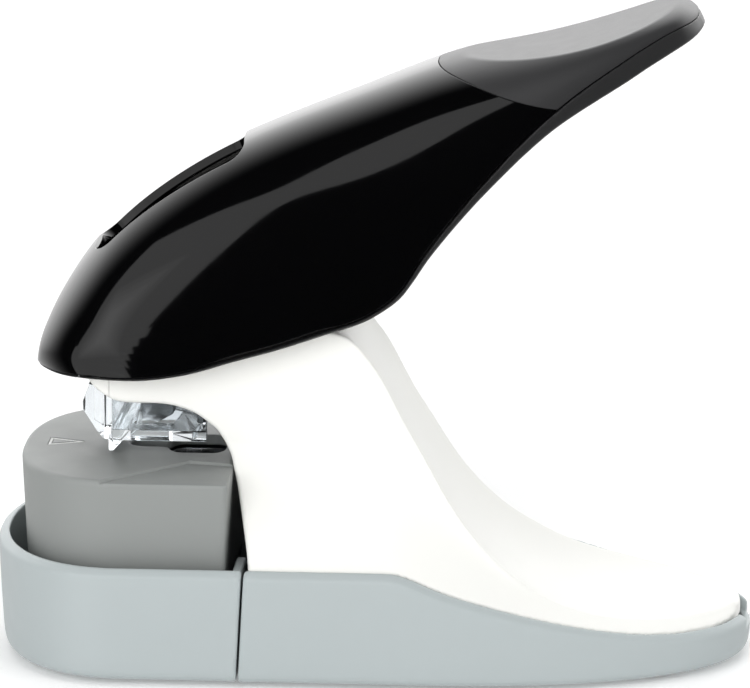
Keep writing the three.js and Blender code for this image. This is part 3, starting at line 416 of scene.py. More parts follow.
def moulded(name, color, roughness, grain=0.0, grain_scale=9000.0, tone=0.04, rough_var=0.05, cloud=60.0, metallic=0.0, spec=0.5, orange=0.0, painted_shade=None, edge=0.0):
    """Moulded plastic, rubber or metal: slow tone variation, uneven roughness, fine grain and a slight waviness;
    optionally painted shade in recesses and a painted highlight on sharp edges.
    """
    m, nt, b = principled(name, color, roughness, metallic, spec)
    N, L = nt.nodes, nt.links
    co = N.new("ShaderNodeTexCoord")
    n1 = N.new("ShaderNodeTexNoise")
    n1.inputs["Scale"].default_value = cloud
    n1.inputs["Detail"].default_value = 4.0
    n1.inputs["Roughness"].default_value = 0.6
    L.new(co.outputs["Object"], n1.inputs["Vector"])
    mix = N.new("ShaderNodeMix")
    mix.data_type = "RGBA"
    mix.inputs[6].default_value = (*[c * (1 - tone) for c in color], 1)
    mix.inputs[7].default_value = (*[min(1, c * (1 + tone)) for c in color], 1)
    L.new(n1.outputs["Fac"], mix.inputs[0])
    out = mix.outputs[2]
    # painted shade: the colour is darkened towards the given tone where ambient occlusion finds creases and recesses
    if painted_shade:
        ao = N.new("ShaderNodeAmbientOcclusion")
        ao.inputs["Distance"].default_value = 0.004
        ao.samples = 4
        dark = N.new("ShaderNodeMix")
        dark.data_type = "RGBA"
        dark.inputs[7].default_value = (*painted_shade, 1)
        inv = N.new("ShaderNodeMapRange")
        inv.inputs["From Min"].default_value = 0.0
        inv.inputs["From Max"].default_value = 0.9
        inv.inputs["To Min"].default_value = 0.25
        inv.inputs["To Max"].default_value = 0.0
        L.new(ao.outputs["AO"], inv.inputs["Value"])
        L.new(inv.outputs["Result"], dark.inputs[0])
        L.new(out, dark.inputs[6])
        out = dark.outputs[2]
    # painted highlight: convex edges, found by pointiness, are painted lighter
    if edge:
        geo = N.new("ShaderNodeNewGeometry")
        er = N.new("ShaderNodeMapRange")
        er.inputs["From Min"].default_value = 0.52
        er.inputs["From Max"].default_value = 0.62
        er.inputs["To Min"].default_value = 0.0
        er.inputs["To Max"].default_value = edge
        L.new(geo.outputs["Pointiness"], er.inputs["Value"])
        wm = N.new("ShaderNodeMix")
        wm.data_type = "RGBA"
        wm.inputs[7].default_value = (*[min(1, c * 1.5 + 0.03) for c in color], 1)
        L.new(er.outputs["Result"], wm.inputs[0])
        L.new(out, wm.inputs[6])
        out = wm.outputs[2]
    L.new(out, b.inputs["Base Color"])
    n2 = N.new("ShaderNodeTexNoise")
    n2.inputs["Scale"].default_value = cloud * 6
    n2.inputs["Detail"].default_value = 5.0
    L.new(co.outputs["Object"], n2.inputs["Vector"])
    rr = N.new("ShaderNodeMapRange")
    rr.inputs["From Min"].default_value = 0.3
    rr.inputs["From Max"].default_value = 0.7
    rr.inputs["To Min"].default_value = max(0.02, roughness - rough_var)
    rr.inputs["To Max"].default_value = roughness + rough_var
    L.new(n2.outputs["Fac"], rr.inputs["Value"])
    L.new(rr.outputs["Result"], b.inputs["Roughness"])
    last = None
    if grain:
        n3 = N.new("ShaderNodeTexNoise")
        n3.inputs["Scale"].default_value = grain_scale
        n3.inputs["Detail"].default_value = 2.0
        L.new(co.outputs["Object"], n3.inputs["Vector"])
        bp = N.new("ShaderNodeBump")
        bp.inputs["Strength"].default_value = grain
        bp.inputs["Distance"].default_value = 0.00004
        L.new(n3.outputs["Fac"], bp.inputs["Height"])
        last = bp
    if orange:
        n4 = N.new("ShaderNodeTexNoise")
        n4.inputs["Scale"].default_value = 420.0
        n4.inputs["Detail"].default_value = 1.0
        L.new(co.outputs["Object"], n4.inputs["Vector"])
        bp = N.new("ShaderNodeBump")
        bp.inputs["Strength"].default_value = orange
        bp.inputs["Distance"].default_value = 0.00004
        L.new(n4.outputs["Fac"], bp.inputs["Height"])
        if last is not None:
            L.new(last.outputs["Normal"], bp.inputs["Normal"])
        last = bp
    if last is not None:
        L.new(last.outputs["Normal"], b.inputs["Normal"])
    return m


def brushed(name, color, roughness=0.32, direction=(60, 2400, 2400)):
    m, nt, b = principled(name, color, roughness, 1.0)
    N, L = nt.nodes, nt.links
    co = N.new("ShaderNodeTexCoord")
    mp = N.new("ShaderNodeMapping")
    mp.inputs["Scale"].default_value = direction
    L.new(co.outputs["Object"], mp.inputs["Vector"])
    n = N.new("ShaderNodeTexNoise")
    n.inputs["Scale"].default_value = 1.0
    n.inputs["Detail"].default_value = 6.0
    L.new(mp.outputs["Vector"], n.inputs["Vector"])
    r = N.new("ShaderNodeMapRange")
    r.inputs["To Min"].default_value = roughness - 0.08
    r.inputs["To Max"].default_value = roughness + 0.14
    L.new(n.outputs["Fac"], r.inputs["Value"])
    L.new(r.outputs["Result"], b.inputs["Roughness"])
    mix = N.new("ShaderNodeMix")
    mix.data_type = "RGBA"
    mix.inputs[6].default_value = (*[c * 0.86 for c in color], 1)
    mix.inputs[7].default_value = (*[min(1, c * 1.08) for c in color], 1)
    L.new(n.outputs["Fac"], mix.inputs[0])
    L.new(mix.outputs[2], b.inputs["Base Color"])
    bp = N.new("ShaderNodeBump")
    bp.inputs["Strength"].default_value = 0.25
    bp.inputs["Distance"].default_value = 0.00003
    L.new(n.outputs["Fac"], bp.inputs["Height"])
    L.new(bp.outputs["Normal"], b.inputs["Normal"])
    return m


def clear_plastic(name):
    m, nt, b = principled(name, (0.955, 0.975, 0.985), 0.03)
    b.inputs["Transmission Weight"].default_value = 1.0
    b.inputs["IOR"].default_value = 1.5
    N, L = nt.nodes, nt.links
    co = N.new("ShaderNodeTexCoord")
    n = N.new("ShaderNodeTexNoise")
    n.inputs["Scale"].default_value = 260.0
    n.inputs["Detail"].default_value = 3.0
    L.new(co.outputs["Object"], n.inputs["Vector"])
    r = N.new("ShaderNodeMapRange")
    r.inputs["To Min"].default_value = 0.02
    r.inputs["To Max"].default_value = 0.07
    L.new(n.outputs["Fac"], r.inputs["Value"])
    L.new(r.outputs["Result"], b.inputs["Roughness"])
    mix = N.new("ShaderNodeMix")
    mix.data_type = "RGBA"
    mix.inputs[6].default_value = (0.86, 0.905, 0.935, 1)
    mix.inputs[7].default_value = (0.92, 0.95, 0.97, 1)
    L.new(n.outputs["Fac"], mix.inputs[0])
    L.new(mix.outputs[2], b.inputs["Base Color"])
    bp = N.new("ShaderNodeBump")
    bp.inputs["Strength"].default_value = 0.1
    bp.inputs["Distance"].default_value = 0.00005
    L.new(n.outputs["Fac"], bp.inputs["Height"])
    L.new(bp.outputs["Normal"], b.inputs["Normal"])
    return m


MAT = {
    "gloss": moulded("cover_gloss_black", (0.0012, 0.0012, 0.0014), 0.06, tone=0.25, rough_var=0.015, cloud=40, orange=0.035),
    "pad": moulded("pad_soft_black", (0.025, 0.025, 0.026), 0.42, grain=0.35, grain_scale=5200, tone=0.04, rough_var=0.012),
    "frame_black": moulded("underframe_black", (0.021, 0.021, 0.0217), 0.4, grain=0.2, grain_scale=6000, tone=0.08, rough_var=0.05),
    "white": moulded("body_white", (0.895, 0.895, 0.862), 0.36, grain=0.04, grain_scale=4200, tone=0.008, rough_var=0.03, cloud=35, orange=0.02, spec=0.22),
    "base": moulded("base_pale_blue_grey", (0.412, 0.456, 0.462), 0.42, grain=0.16, grain_scale=6500, tone=0.015, rough_var=0.04, cloud=45, spec=0.4),
    "pod": moulded("pod_grey", (0.272, 0.285, 0.278), 0.45, grain=0.2, grain_scale=6500, tone=0.02, rough_var=0.03, cloud=50, spec=0.18),
    "arrow": moulded("arrow_pale_grey", (0.66, 0.67, 0.66), 0.45, grain=0.1, tone=0.02),
    "dark": moulded("liner_dark", (0.036, 0.036, 0.037), 0.5, grain=0.25, grain_scale=6000, tone=0.1, rough_var=0.06),
    "well": moulded("well_black", (0.006, 0.006, 0.0065), 0.25, tone=0.2, rough_var=0.05, orange=0.05),
    "acetal": moulded("acetal_dark", (0.055, 0.06, 0.068), 0.42, grain=0.2, grain_scale=5000, tone=0.08, rough_var=0.05),
    "rubber": moulded("foot_rubber", (0.035, 0.036, 0.038), 0.78, grain=0.5, grain_scale=4500, tone=0.12, rough_var=0.08),
    "steel": brushed("zinc_sheet", (0.56, 0.575, 0.585), 0.34),
    "pin": brushed("turned_pin", (0.62, 0.63, 0.64), 0.24, (2600, 90, 2600)),
    "blade": brushed("ground_blade", (0.60, 0.61, 0.62), 0.2, (2400, 2400, 120)),
    "spring": brushed("spring_wire", (0.52, 0.53, 0.54), 0.26, (900, 900, 900)),
    "screw": brushed("screw_zinc", (0.5, 0.515, 0.53), 0.3, (1200, 1200, 1200)),
    "clear": clear_plastic("clear_polycarbonate"),
}


def finish_piece(o, body, node, material):
    o.data.materials.clear()
    o.data.materials.append(MAT[material])
    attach(o, body)
    if node:
        for n in ([node] if isinstance(node, str) else node):
            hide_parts(n)
    return o


# ------------------------------------------------------------------ base outline
rim = Table(curve(RIM_Z), -64, 64, 0.8)


def plan_sdf(x, y):
    """About the distance outside the base's widest outline."""
    ax = np.abs(y)
    out = ax - BASE_HALF
    for side, xm, a, n in ((1, BASE_XM, HEEL_X - BASE_XM, BASE_N), (-1, TRAY_XM, TRAY_XM - FRONT_X, TRAY_N)):
        u = np.maximum((x - xm) * side, 0) / a
        v = ax / BASE_HALF
        G = np.maximum(u ** n + v ** n, 1e-9)
        g = G ** (1 / n)
        q = G ** (1 / n - 1)
        gx, gy = q * u ** (n - 1) / a, q * v ** (n - 1) / BASE_HALF
        d = (g - 1) / np.sqrt(gx * gx + gy * gy + 1e-6)
        out = np.where((x - xm) * side > 0, d, out)
    return out


inset = Table(curve([[-1, 2.6], [0.8, 1.9], [1.3, 1.25], [2.4, 0.72], [6, 0.42], [17.8, 0.02], [24, 0.0]]), -1, 24, 0.3)


def seam_x(z):
    return SEAM_BOTTOM + (SEAM_TOP - SEAM_BOTTOM) * (z - 0.8) / 18.6


def sd_box(x, y, z, b, r=0.0):
    x0, x1, y0, y1, z0, z1 = b
    dx = np.abs(x - (x0 + x1) / 2) - (x1 - x0) / 2 + r
    dy = np.abs(y - (y0 + y1) / 2) - (y1 - y0) / 2 + r
    dz = np.abs(z - (z0 + z1) / 2) - (z1 - z0) / 2 + r
    o = np.sqrt(np.maximum(dx, 0) ** 2 + np.maximum(dy, 0) ** 2 + np.maximum(dz, 0) ** 2)
    return o + np.minimum(np.maximum(dx, np.maximum(dy, dz)), 0) - r


def cyl_z(x, y, cx, cy, r):
    return np.sqrt((x - cx) ** 2 + (y - cy) ** 2) - r


def tub(x, y, z):
    d = plan_sdf(x, y)
    outer = smax(d + inset(z), FOOT_GAP - z, 1.1)
    top = (z - rim(x)) / np.sqrt(1 + rim.slope(x) ** 2)
    inner = smax(d + WALL + 0.2, 3.1 - z, 1.6)
    body = smax(smax(outer, top, 0.35), 0.62 * outer + 0.785 * top + 0.78, 0.4)
    return smax(body, -inner, 0.45), outer


def base_rear_f(x, y, z):
    t, outer = tub(x, y, z)
    s = (seam_x(z) + 0.16 - x)
    wall = sd_box(x - seam_x(z), y, z, (0.16, 2.1, -24.8, 24.8, 0.9, 16), 0.3)
    f = smin(t, wall, 0.4)
    for cx, cy in BASE_SCREWS:
        f = smin(f, np.maximum(cyl_z(x, y, cx, cy, 3.3), np.maximum(1.2 - z, z - 4.5)), 0.3)
        f = smax(f, -np.maximum(cyl_z(x, y, cx, cy, 1.6), z - 6), 0.2)
        f = smax(f, -np.maximum(cyl_z(x, y, cx, cy, 2.7), z - 2.4), 0.25)
    for cx, cy in FEET[2:]:
        f = smax(f, -np.maximum(cyl_z(x, y, cx, cy, 4.3), z - 1.7), 0.25)
    f = smax(f, -sd_box(x, y, z, (56.6, 66, -4.6, 4.6, 5.2, 14), 0.3), 0.4)
    f = smax(f, -sd_box(x, y, z, (-24, -16.4, -9.6, 9.6, 3.2, 13.2), 0.2), 0.2)
    return smax(f, s, 0.5)


def base_front_f(x, y, z):
    t, outer = tub(x, y, z)
    s = (x - seam_x(z) + 0.16)
    wall = sd_box(x - seam_x(z), y, z, (-1.9, -0.16, -24.4, 24.4, 0.9, 4), 0.3)
    f = smin(t, wall, 0.4)
    ledge = sd_box(x - seam_x(z), np.abs(y), z, (-1.9, -0.16, 14.5, 26.0, 0.9, 18.3), 0.3)
    f = smin(f, ledge, 0.5)
    f = smax(f, outer, 0.1)
    for cx, cy in TRAY_SCREWS:
        f = smin(f, np.maximum(cyl_z(x, y, cx, cy, 3.3), np.maximum(1.2 - z, z - 3.3)), 0.3)
        f = smax(f, -np.maximum(cyl_z(x, y, cx, cy, 1.6), z - 6), 0.2)
        f = smax(f, -np.maximum(cyl_z(x, y, cx, cy, 2.7), z - 2.2), 0.25)
    for cx, cy in FEET[:2]:
        f = smax(f, -np.maximum(cyl_z(x, y, cx, cy, 4.3), z - 1.7), 0.25)
    return smax(f, s, 0.5)


# ------------------------------------------------------------------ body shell
crease_w = Table(curve(CREASE, 1), -50, 60, 0.8)
crease_z = Table(curve(CREASE, 2), -50, 60, 0.9)
channel = Table(curve(CHANNEL), -50, 60, 1.0)
sil_points = ARM_UNDER + THROAT + [[-18.0, 2], [70, 2], [70, 60], [66, 62], [-15, 54.6], [-42, 54.6], [-44.4, 54.0], [-46.1, 52.6]]
sil = polygon_sdf(rounded_path(sil_points, 2))
wb_x = np.arange(-64, 64, 0.1)
wb_y = []
for xx in wb_x:
    lo_, hi_ = 0.0, 26.0
    if plan_sdf(np.float64(xx), np.float64(0.0)) + WALL + 0.5 > 0:
        wb_y.append(0.0)
        continue
    for _ in range(30):
        mid = (lo_ + hi_) / 2
        if plan_sdf(np.float64(xx), np.float64(mid)) + WALL + 0.5 < 0:
            lo_ = mid
        else:
            hi_ = mid
    wb_y.append(lo_)
wb_y = np.array(wb_y)


def body_half(x, z):
    zc = crease_z(x)
    wc = crease_w(x)
    z0 = rim(x) - 0.1
    zf = np.maximum(smin(zc, 36.5, 12.0), z0 + 0.2)
    q = np.clip((z - z0) / (zf - z0), 0, 1)
    up = np.clip((z - zf) / np.maximum(zc - zf, 0.1), 0, 1)
    wf = wc + 0.25 * np.clip((zc - 36.5) / 3, 0, 1) * (1 - up)
    wb = np.interp(x, wb_x, wb_y)
    return wf + (np.maximum(wb, wf) - wf) * (1 - q) ** 1.55


def body_outer(x, y, z, with_sil=True):
    ay = np.abs(y)
    hw = body_half(x, z)
    e = 0.15
    hx = (body_half(x + e, z) - body_half(x - e, z)) / (2 * e)
    hz = (body_half(x, z + e) - body_half(x, z - e)) / (2 * e)
    side = (ay - hw) / np.sqrt(1 + hx * hx + hz * hz)
    wc = crease_w(x)
    q = np.clip(ay / np.maximum(wc - 0.5, 0.5), 0, 1.15)
    zt = crease_z(x) - channel(x) * (1 - q ** 2.6)
    sx = crease_z.slope(x)
    top = (z - zt) / np.sqrt(1 + sx * sx + (channel(x) * 2.6 * q ** 1.6 / np.maximum(wc, 0.5)) ** 2)
    f = smax(side, top, 0.7)
    f = smax(f, plan_sdf(x, y) + WALL + 0.5, 0.9)
    # rounded nose of the arm, seen from above
    n = 2.667
    u, v = np.maximum(-41.2 - x, 0) / 5.8, ay / 11.25
    G = np.maximum(u ** n + v ** n, 1e-9)
    qq = G ** (1 / n - 1)
    nose = (G ** (1 / n) - 1) / np.sqrt((qq * u ** (n - 1) / 5.8) ** 2 + (qq * v ** (n - 1) / 11.25) ** 2 + 1e-6)
    f = smax(f, np.where(x < -41.2, nose, -5.0 + 0 * x), 0.2)
    if with_sil:
        f = smax(f, sil(x, z) + 0 * y, 0.9)
    return f


def body_f(x, y, z):
    f = body_outer(x, y, z)
    f = smax(f, (rim(x) - 1.8) - z, 0.4)
    inner = body_outer(x, y, z, False) + SKIN + 0.9
    inner = np.maximum(inner, z - 53.0)
    saddle_in = np.maximum(inner, -24.5 - x)
    saddle_in = np.maximum(saddle_in, x - 55.0)
    arm_in = sd_box(x, y, z, (-44.4, -12, -9.6, 9.6, 43.8, 53.0), 0.4)
    hollow = np.minimum(saddle_in, arm_in)
    hollow = np.minimum(hollow, sd_box(x, y, z, (-30, -12, -9.6, 9.6, 20, 53.0), 0.3))
    hollow = np.minimum(hollow, sd_box(x, y, z, (-34, -8.5, -6.5, 6.5, 50, 60), 0.4))
    hollow = np.minimum(hollow, sd_box(x, y, z, (-49.5, -25.6, -7.95, 7.95, 38, 44.6), 0.2))
    hollow = np.minimum(hollow, np.sqrt((x - PIVOT[0]) ** 2 + (z - PIVOT[1]) ** 2) + 0 * y - PIVOT[2] - 0.3)
    f = smax(f, -hollow, 0.35)
    for cx, cy in BASE_SCREWS:
        boss = np.maximum(cyl_z(x, y, cx, cy, 2.9), np.maximum(6.4 - z, z - 34.0))
        boss = np.maximum(boss, body_outer(x, y, z, False) + 0.8)
        boss = np.maximum(boss, -np.maximum(cyl_z(x, y, cx, cy, 1.55), z - 10.0))
        f = np.minimum(f, boss)
    return f


# ------------------------------------------------------------------ pod
key_sdf = polygon_sdf(rounded_path(KEYHOLE, 2))


def pod_plan(x, y):
    ay = np.abs(y)
    a, b, n = POD["xm"] - POD["front"], POD["half"], POD["n"]
    u, v = np.maximum(POD["xm"] - x, 0) / a, ay / b
    G = np.maximum(u ** n + v ** n, 1e-9)
    q = G ** (1 / n - 1)
    d = (G ** (1 / n) - 1) / np.sqrt((q * u ** (n - 1) / a) ** 2 + (q * v ** (n - 1) / b) ** 2 + 1e-6)
    d = np.where(x < POD["xm"], d, ay - b)
    return smax(d, x - POD["rear"], 1.0)


def line_d(x, y, a, b):
    """Signed side of the line a to b, positive to its left."""
    ex, ey = b[0] - a[0], b[1] - a[1]
    n = math.hypot(ex, ey)
    return (ex * (y - a[1]) - ey * (x - a[0])) / n


def segment_d(x, y, a, b):
    ex, ey = b[0] - a[0], b[1] - a[1]
    t = np.clip(((x - a[0]) * ex + (y - a[1]) * ey) / (ex * ex + ey * ey), 0, 1)
    return np.sqrt((x - a[0] - t * ex) ** 2 + (y - a[1] - t * ey) ** 2)


def pod_f(x, y, z):
    d = pod_plan(x, y) + (POD["top"] - z) * POD["draft"]
    f = smax(d, z - POD["top"], 1.0)
    f = smax(f, POD["bottom"] - z, 0.4)
    hollow = np.maximum(d + 2.0, z - 30.9)
    f = smax(f, -hollow, 0.5)
    f = smax(f, -np.maximum(key_sdf(x, y) + 0 * z, 27.0 - z), 0.35)
    ay = np.abs(y)
    # shallow step on both rear shoulders
    s = np.maximum(line_d(x, -ay, (-42.3, -22.9), (-28.6, -10.2)) * 1.0, line_d(x, -ay, (-28.6, -10.2), (-20.0, -11.9)))
    step = np.maximum(s, 32.26 - z)
    f = smax(f, -step, 0.12)
    groove = np.minimum(segment_d(x, -ay, (-42.3, -22.9), (-28.6, -10.2)), segment_d(x, -ay, (-28.6, -10.2), (-20.0, -11.9)))
    f = smax(f, -(groove + (32.6 - z) * 0.7 - 0.42), 0.08)
    # outline arrow
    tri = np.minimum(np.minimum(segment_d(x, y, (-52.0, 1.75), (-52.0, -1.75)), segment_d(x, y, (-52.0, 1.75), (-47.0, 0.0))), segment_d(x, y, (-52.0, -1.75), (-47.0, 0.0)))
    f = smax(f, -np.maximum(tri - 0.27, 32.4 - z), 0.1)
    f = smax(f, -sd_box(x, y, z, (-26.5, -18, -9.6, 9.6, 0, 13.2), 0.3), 0.3)
    return f


# ------------------------------------------------------------------ lever surfaces
CA, SA = math.cos(TILT), math.sin(TILT)


def to_st(rows):
    return [[CA * r[0] + SA * r[1], -SA * r[0] + CA * r[1], *r[2:]] for r in rows]


crown_st, edge_st = to_st(CROWN), to_st(EDGE)
S0, S1 = edge_st[0][0], edge_st[-1][0]


def fair(f, fine, coarse):
    """Lightly smoothed at the two ends, strongly smoothed between them."""
    A, B = Table(f, S0, S1, fine), Table(f, S0, S1, coarse)
    k = np.clip((A.x - S0 - 2) / 12, 0, 1) * np.clip((S1 - 2 - A.x) / 12, 0, 1)
    k = k * k * (3 - 2 * k)
    y_ = A.y * (1 - k) + B.y * k
    return Table(lambda q: np.interp(q, A.x, y_), S0, S1, 0.5)


edge_t = Table(curve(edge_st), S0, S1, 0.9)  # the true lower edge, where the cover is trimmed
base_t = fair(curve(edge_st), 0.9, 6.0)  # the smooth line that the sections stand on
w_sq = fair(curve([[r[0], r[2] ** 2] for r in edge_st]), 0.9, 5.0)
crown_t = fair(curve(crown_st), 0.9, 4.0)
band_d = Table(curve(BAND), S0, S1, 1.5)
h_tab = Table(lambda q: np.interp(q, crown_t.x, np.maximum(crown_t.y - base_t.y, 0.0)), S0, S1, 0)
SECTION_N = 2.5
EXP = 2 / SECTION_N


def lever_w(s):
    return np.sqrt(np.maximum(w_sq(s), 1e-4))


def lever_h(s):
    return np.maximum(h_tab(s), 0.02)


def start_angle(s):
    """Angle on the section at which the true edge lies; negative below the sections' own foot."""
    r = (edge_t(s) - base_t(s)) / lever_h(s)
    r = np.clip(r, -0.35, 0.6)
    return np.where(r < 0, r, np.arcsin(np.clip(np.maximum(r, 0) ** (1 / EXP), 0, 1)))


def lever_point(s, v):
    """v runs from 0 at the near lower edge over the crown to 1 at the far one."""
    a0 = start_angle(s)
    a = a0 + (np.pi - 2 * a0) * v
    m = np.minimum(a, np.pi - a)
    w, te, h = lever_w(s), base_t(s), lever_h(s)
    c = np.cos(np.maximum(m, 0))
    d = np.sin(np.maximum(m, 0))
    y = w * np.abs(c) ** EXP * np.where(a > np.pi / 2, 1.0, -1.0)
    t = te + h * np.where(m < 0, m, d ** EXP)
    return y, t


def lever_normal(s, y, t):
    w, te, h = lever_w(s), base_t(s), lever_h(s)
    e = 0.08
    dw = (lever_w(s + e) - lever_w(s - e)) / (2 * e)
    dh = (lever_h(s + e) - lever_h(s - e)) / (2 * e)
    dte = base_t.slope(s)
    n = SECTION_N
    Y, T = np.abs(y) / w, np.maximum((t - te) / h, 0)
    gy = np.sign(y) * Y ** (n - 1) / w
    gt = T ** (n - 1) / h
    gs = -(Y ** n) * dw / w + T ** (n - 1) * (-dte / h - T * dh / h)
    N = np.stack([gs, gy, gt], -1)
    return N / np.maximum(np.linalg.norm(N, axis=-1), 1e-9)[..., None]


def world_pt(s, y, t):
    return np.stack([CA * s - SA * t, y + 0 * s, SA * s + CA * t], -1)


def world_dir(n):
    return np.stack([CA * n[..., 0] - SA * n[..., 2], n[..., 1], SA * n[..., 0] + CA * n[..., 2]], -1)


seam_z = curve(SEAM)


def seam_s(v):
    """s where the joint between cover and pad crosses the line of constant v."""
    out = []
    for q in np.atleast_1d(v):
        s = np.arange(40.0, 80.0, 0.05)
        y, t = lever_point(s, np.full_like(s, q))
        P = world_pt(s, y, t)
        g = np.where(P[:, 0] > 8.4, P[:, 2] - seam_z(P[:, 0]), -1)
        i = int(np.argmax(g > 0))
        if i > 0:
            k = g[i - 1] / (g[i - 1] - g[i]) if g[i] != g[i - 1] else 0
            out.append(s[i - 1] + 0.05 * k)
        else:
            out.append(s[0])
    return np.array(out)


v_tab = np.linspace(0, 1, 401)
seam_tab = seam_s(v_tab)
kern = np.exp(-0.5 * (np.arange(-12, 13) / 5.0) ** 2)
kern /= kern.sum()
seam_tab = np.convolve(np.concatenate([2 * seam_tab[0] - seam_tab[1:13][::-1], seam_tab, 2 * seam_tab[-1] - seam_tab[-13:-1][::-1]]), kern, "valid")
seam_tab = (seam_tab + seam_tab[::-1]) / 2


def thick_shell(name, P, N, tris, thick, r, loops=None):
    """A closed shell from an open patch: the patch, its copy set inwards, and rounded rims round every border."""
    P, N = np.asarray(P, float), np.asarray(N, float)
    count = {}
    for t in tris:
        for i in range(len(t)):
            a, b = t[i], t[(i + 1) % len(t)]
            count[(a, b)] = 1
    border = [(a, b) for (a, b) in count if (b, a) not in count]
    nxt = {a: b for a, b in border}
    n = len(P)
    verts = [P, P - N * thick]
    norms = [N, -N]
    faces = [tuple(t) for t in tris] + [tuple(n + i for i in reversed(t)) for t in tris]
    total = 2 * n
    seen = set()
    for a0, _ in border:
        if a0 in seen:
            continue
        loop = [a0]
        seen.add(a0)
        q = nxt.get(a0)
        while q is not None and q != a0 and q not in seen:
            loop.append(q)
            seen.add(q)
            q = nxt.get(q)
        L = np.array(loop)
        Q, M = P[L], N[L]
        tan = np.roll(Q, -1, 0) - np.roll(Q, 1, 0)
        tan /= np.maximum(np.linalg.norm(tan, axis=1), 1e-9)[:, None]
        b = np.cross(tan, M)
        b /= np.maximum(np.linalg.norm(b, axis=1), 1e-9)[:, None]
        rows, rn = [], []
        for k in range(1, 6):
            th = math.pi / 2 * k / 5
            rows.append(Q + b * r * math.sin(th) - M * r * (1 - math.cos(th)))
            rn.append(M * math.cos(th) + b * math.sin(th))
        for k in range(0, 4):
            th = math.pi / 2 * k / 4
            rows.append(Q + b * r * math.cos(th) - M * (thick - r + r * math.sin(th)))
            rn.append(b * math.cos(th) - M * math.sin(th))
        m = len(loop)
        start = [L]
        for k in range(len(rows)):
            start.append(np.arange(total + k * m, total + (k + 1) * m))
        start.append(L + n)
        for k in range(len(start) - 1):
            A, B = start[k], start[k + 1]
            for i in range(m):
                j = (i + 1) % m
                faces.append((int(A[j]), int(A[i]), int(B[i]), int(B[j])))
        verts += rows
        norms += rn
        total += m * len(rows)
    V = np.concatenate(verts)
    NN = np.concatenate(norms)
    return new_mesh(name, V, faces, NN)


def cover_patch(step, r):
    """Points of the cover's outer skin, with the window left open and its borders set in by r."""
    nv = int(60 / step / 2) * 2
    scale_v = 56.0
    edge_in = r / scale_v
    v = np.linspace(edge_in, 1 - edge_in, nv + 1)
    pts, keys = [], []
    # rows in u from 0 at the nose to 1 at the seam
    length = 78.0
    nu = int(length / step)
    u = (np.linspace(0, 1, nu + 1))
    u = 0.35 * u ** 2 + 0.65 * u
    uu, vv = np.meshgrid(u, v, indexing="ij")

    def s_of(u_, v_):
        end = np.interp(v_, v_tab, seam_tab) - r - 0.05
        return S0 + 0.3 + (end - S0 - 0.3) * u_
    # window outline in (s, y), grown by r
    u0 = to_st([[WIN_X0, 66.5]])[0][0] - r
    u1 = to_st([[WIN_X1, 83.6]])[0][0] + r
    w = WIN_HALF + r
    rad = WIN_R + r
    outline = []
    for cx, cy, a0 in [(u1 - rad, w - rad, 0), (u0 + rad, w - rad, 90), (u0 + rad, -w + rad, 180), (u1 - rad, -w + rad, 270)]:
        for i in range(13):
            a = math.radians(a0 + 90 * i / 12)
            outline.append((cx + rad * math.cos(a), cy + rad * math.sin(a)))
    outline = np.array(outline)
    dense = []
    for i in range(len(outline)):
        a, b = outline[i], outline[(i + 1) % len(outline)]
        k = max(1, int(np.linalg.norm(b - a) / (step * 0.9)))
        for j in range(k):
            dense.append(a + (b - a) * j / k)
    dense = np.array(dense)

    def v_of(s, y):
        w_ = lever_w(s)
        c = np.clip(np.abs(y) / w_, 0, 1) ** (1 / EXP)
        a0 = start_angle(s)
        q = (np.arccos(np.clip(c, 0, 1)) - a0) / (np.pi - 2 * a0)
        return np.where(y < 0, q, 1 - q)
    os_, oy = dense[:, 0], dense[:, 1]
    ov = v_of(os_, oy)
    # domain for the triangulation: s in mm, v scaled to mm
    grid_s = s_of(uu, vv)
    D = np.stack([grid_s.ravel(), vv.ravel() * scale_v], 1)
    border = np.zeros((nu + 1, nv + 1), bool)
    border[0, :] = border[-1, :] = border[:, 0] = border[:, -1] = True
    # grid points near or inside the window go away
    W = np.stack([os_, ov * scale_v], 1)
    inside = np.zeros(len(D), bool)
    for i in range(len(W)):
        a, b = W[i], W[(i + 1) % len(W)]
        c = (a[1] > D[:, 1]) != (b[1] > D[:, 1])
        with np.errstate(divide="ignore", invalid="ignore"):
            inside ^= c & (D[:, 0] < (b[0] - a[0]) * (D[:, 1] - a[1]) / (b[1] - a[1]) + a[0])
    near = np.min(((D[:, None, :] - W[None, ::2, :]) ** 2).sum(2), 1) < (0.45 * step) ** 2
    keep = ~(inside | near) | border.ravel()
    idx = np.full(len(D), -1)
    idx[keep] = np.arange(keep.sum())
    K = D[keep]
    edges = []
    g = idx.reshape(nu + 1, nv + 1)
    for i in range(nu):
        edges.append((g[i, 0], g[i + 1, 0]))
        edges.append((g[i, -1], g[i + 1, -1]))
    for j in range(nv):
        edges.append((g[0, j], g[0, j + 1]))
        edges.append((g[-1, j], g[-1, j + 1]))
    base = len(K)
    for i in range(len(W)):
        edges.append((base + i, base + (i + 1) % len(W)))
    A = np.concatenate([K, W])
    res = delaunay_2d_cdt([Vector((float(p[0]), float(p[1]))) for p in A], [(int(a), int(b)) for a, b in edges], [], 0, 1e-7)
    out_v = np.array([[p.x, p.y] for p in res[0]])
    tris = []
    for f in res[2]:
        c = out_v[list(f)].mean(0)
        # drop what lies in the window or outside the rectangle
        k = False
        ins = 0
        for i in range(len(W)):
            a, b = W[i], W[(i + 1) % len(W)]
            if (a[1] > c[1]) != (b[1] > c[1]) and c[0] < (b[0] - a[0]) * (c[1] - a[1]) / (b[1] - a[1]) + a[0]:
                ins ^= 1
        if ins:
            continue
        vq = c[1] / scale_v
        if c[0] > np.interp(vq, v, s_of(np.ones(nv + 1), v)) + 0.02:
            continue
        tris.append(list(f))
    s, vv_ = out_v[:, 0], out_v[:, 1] / scale_v
    return s, vv_, tris, nv, v


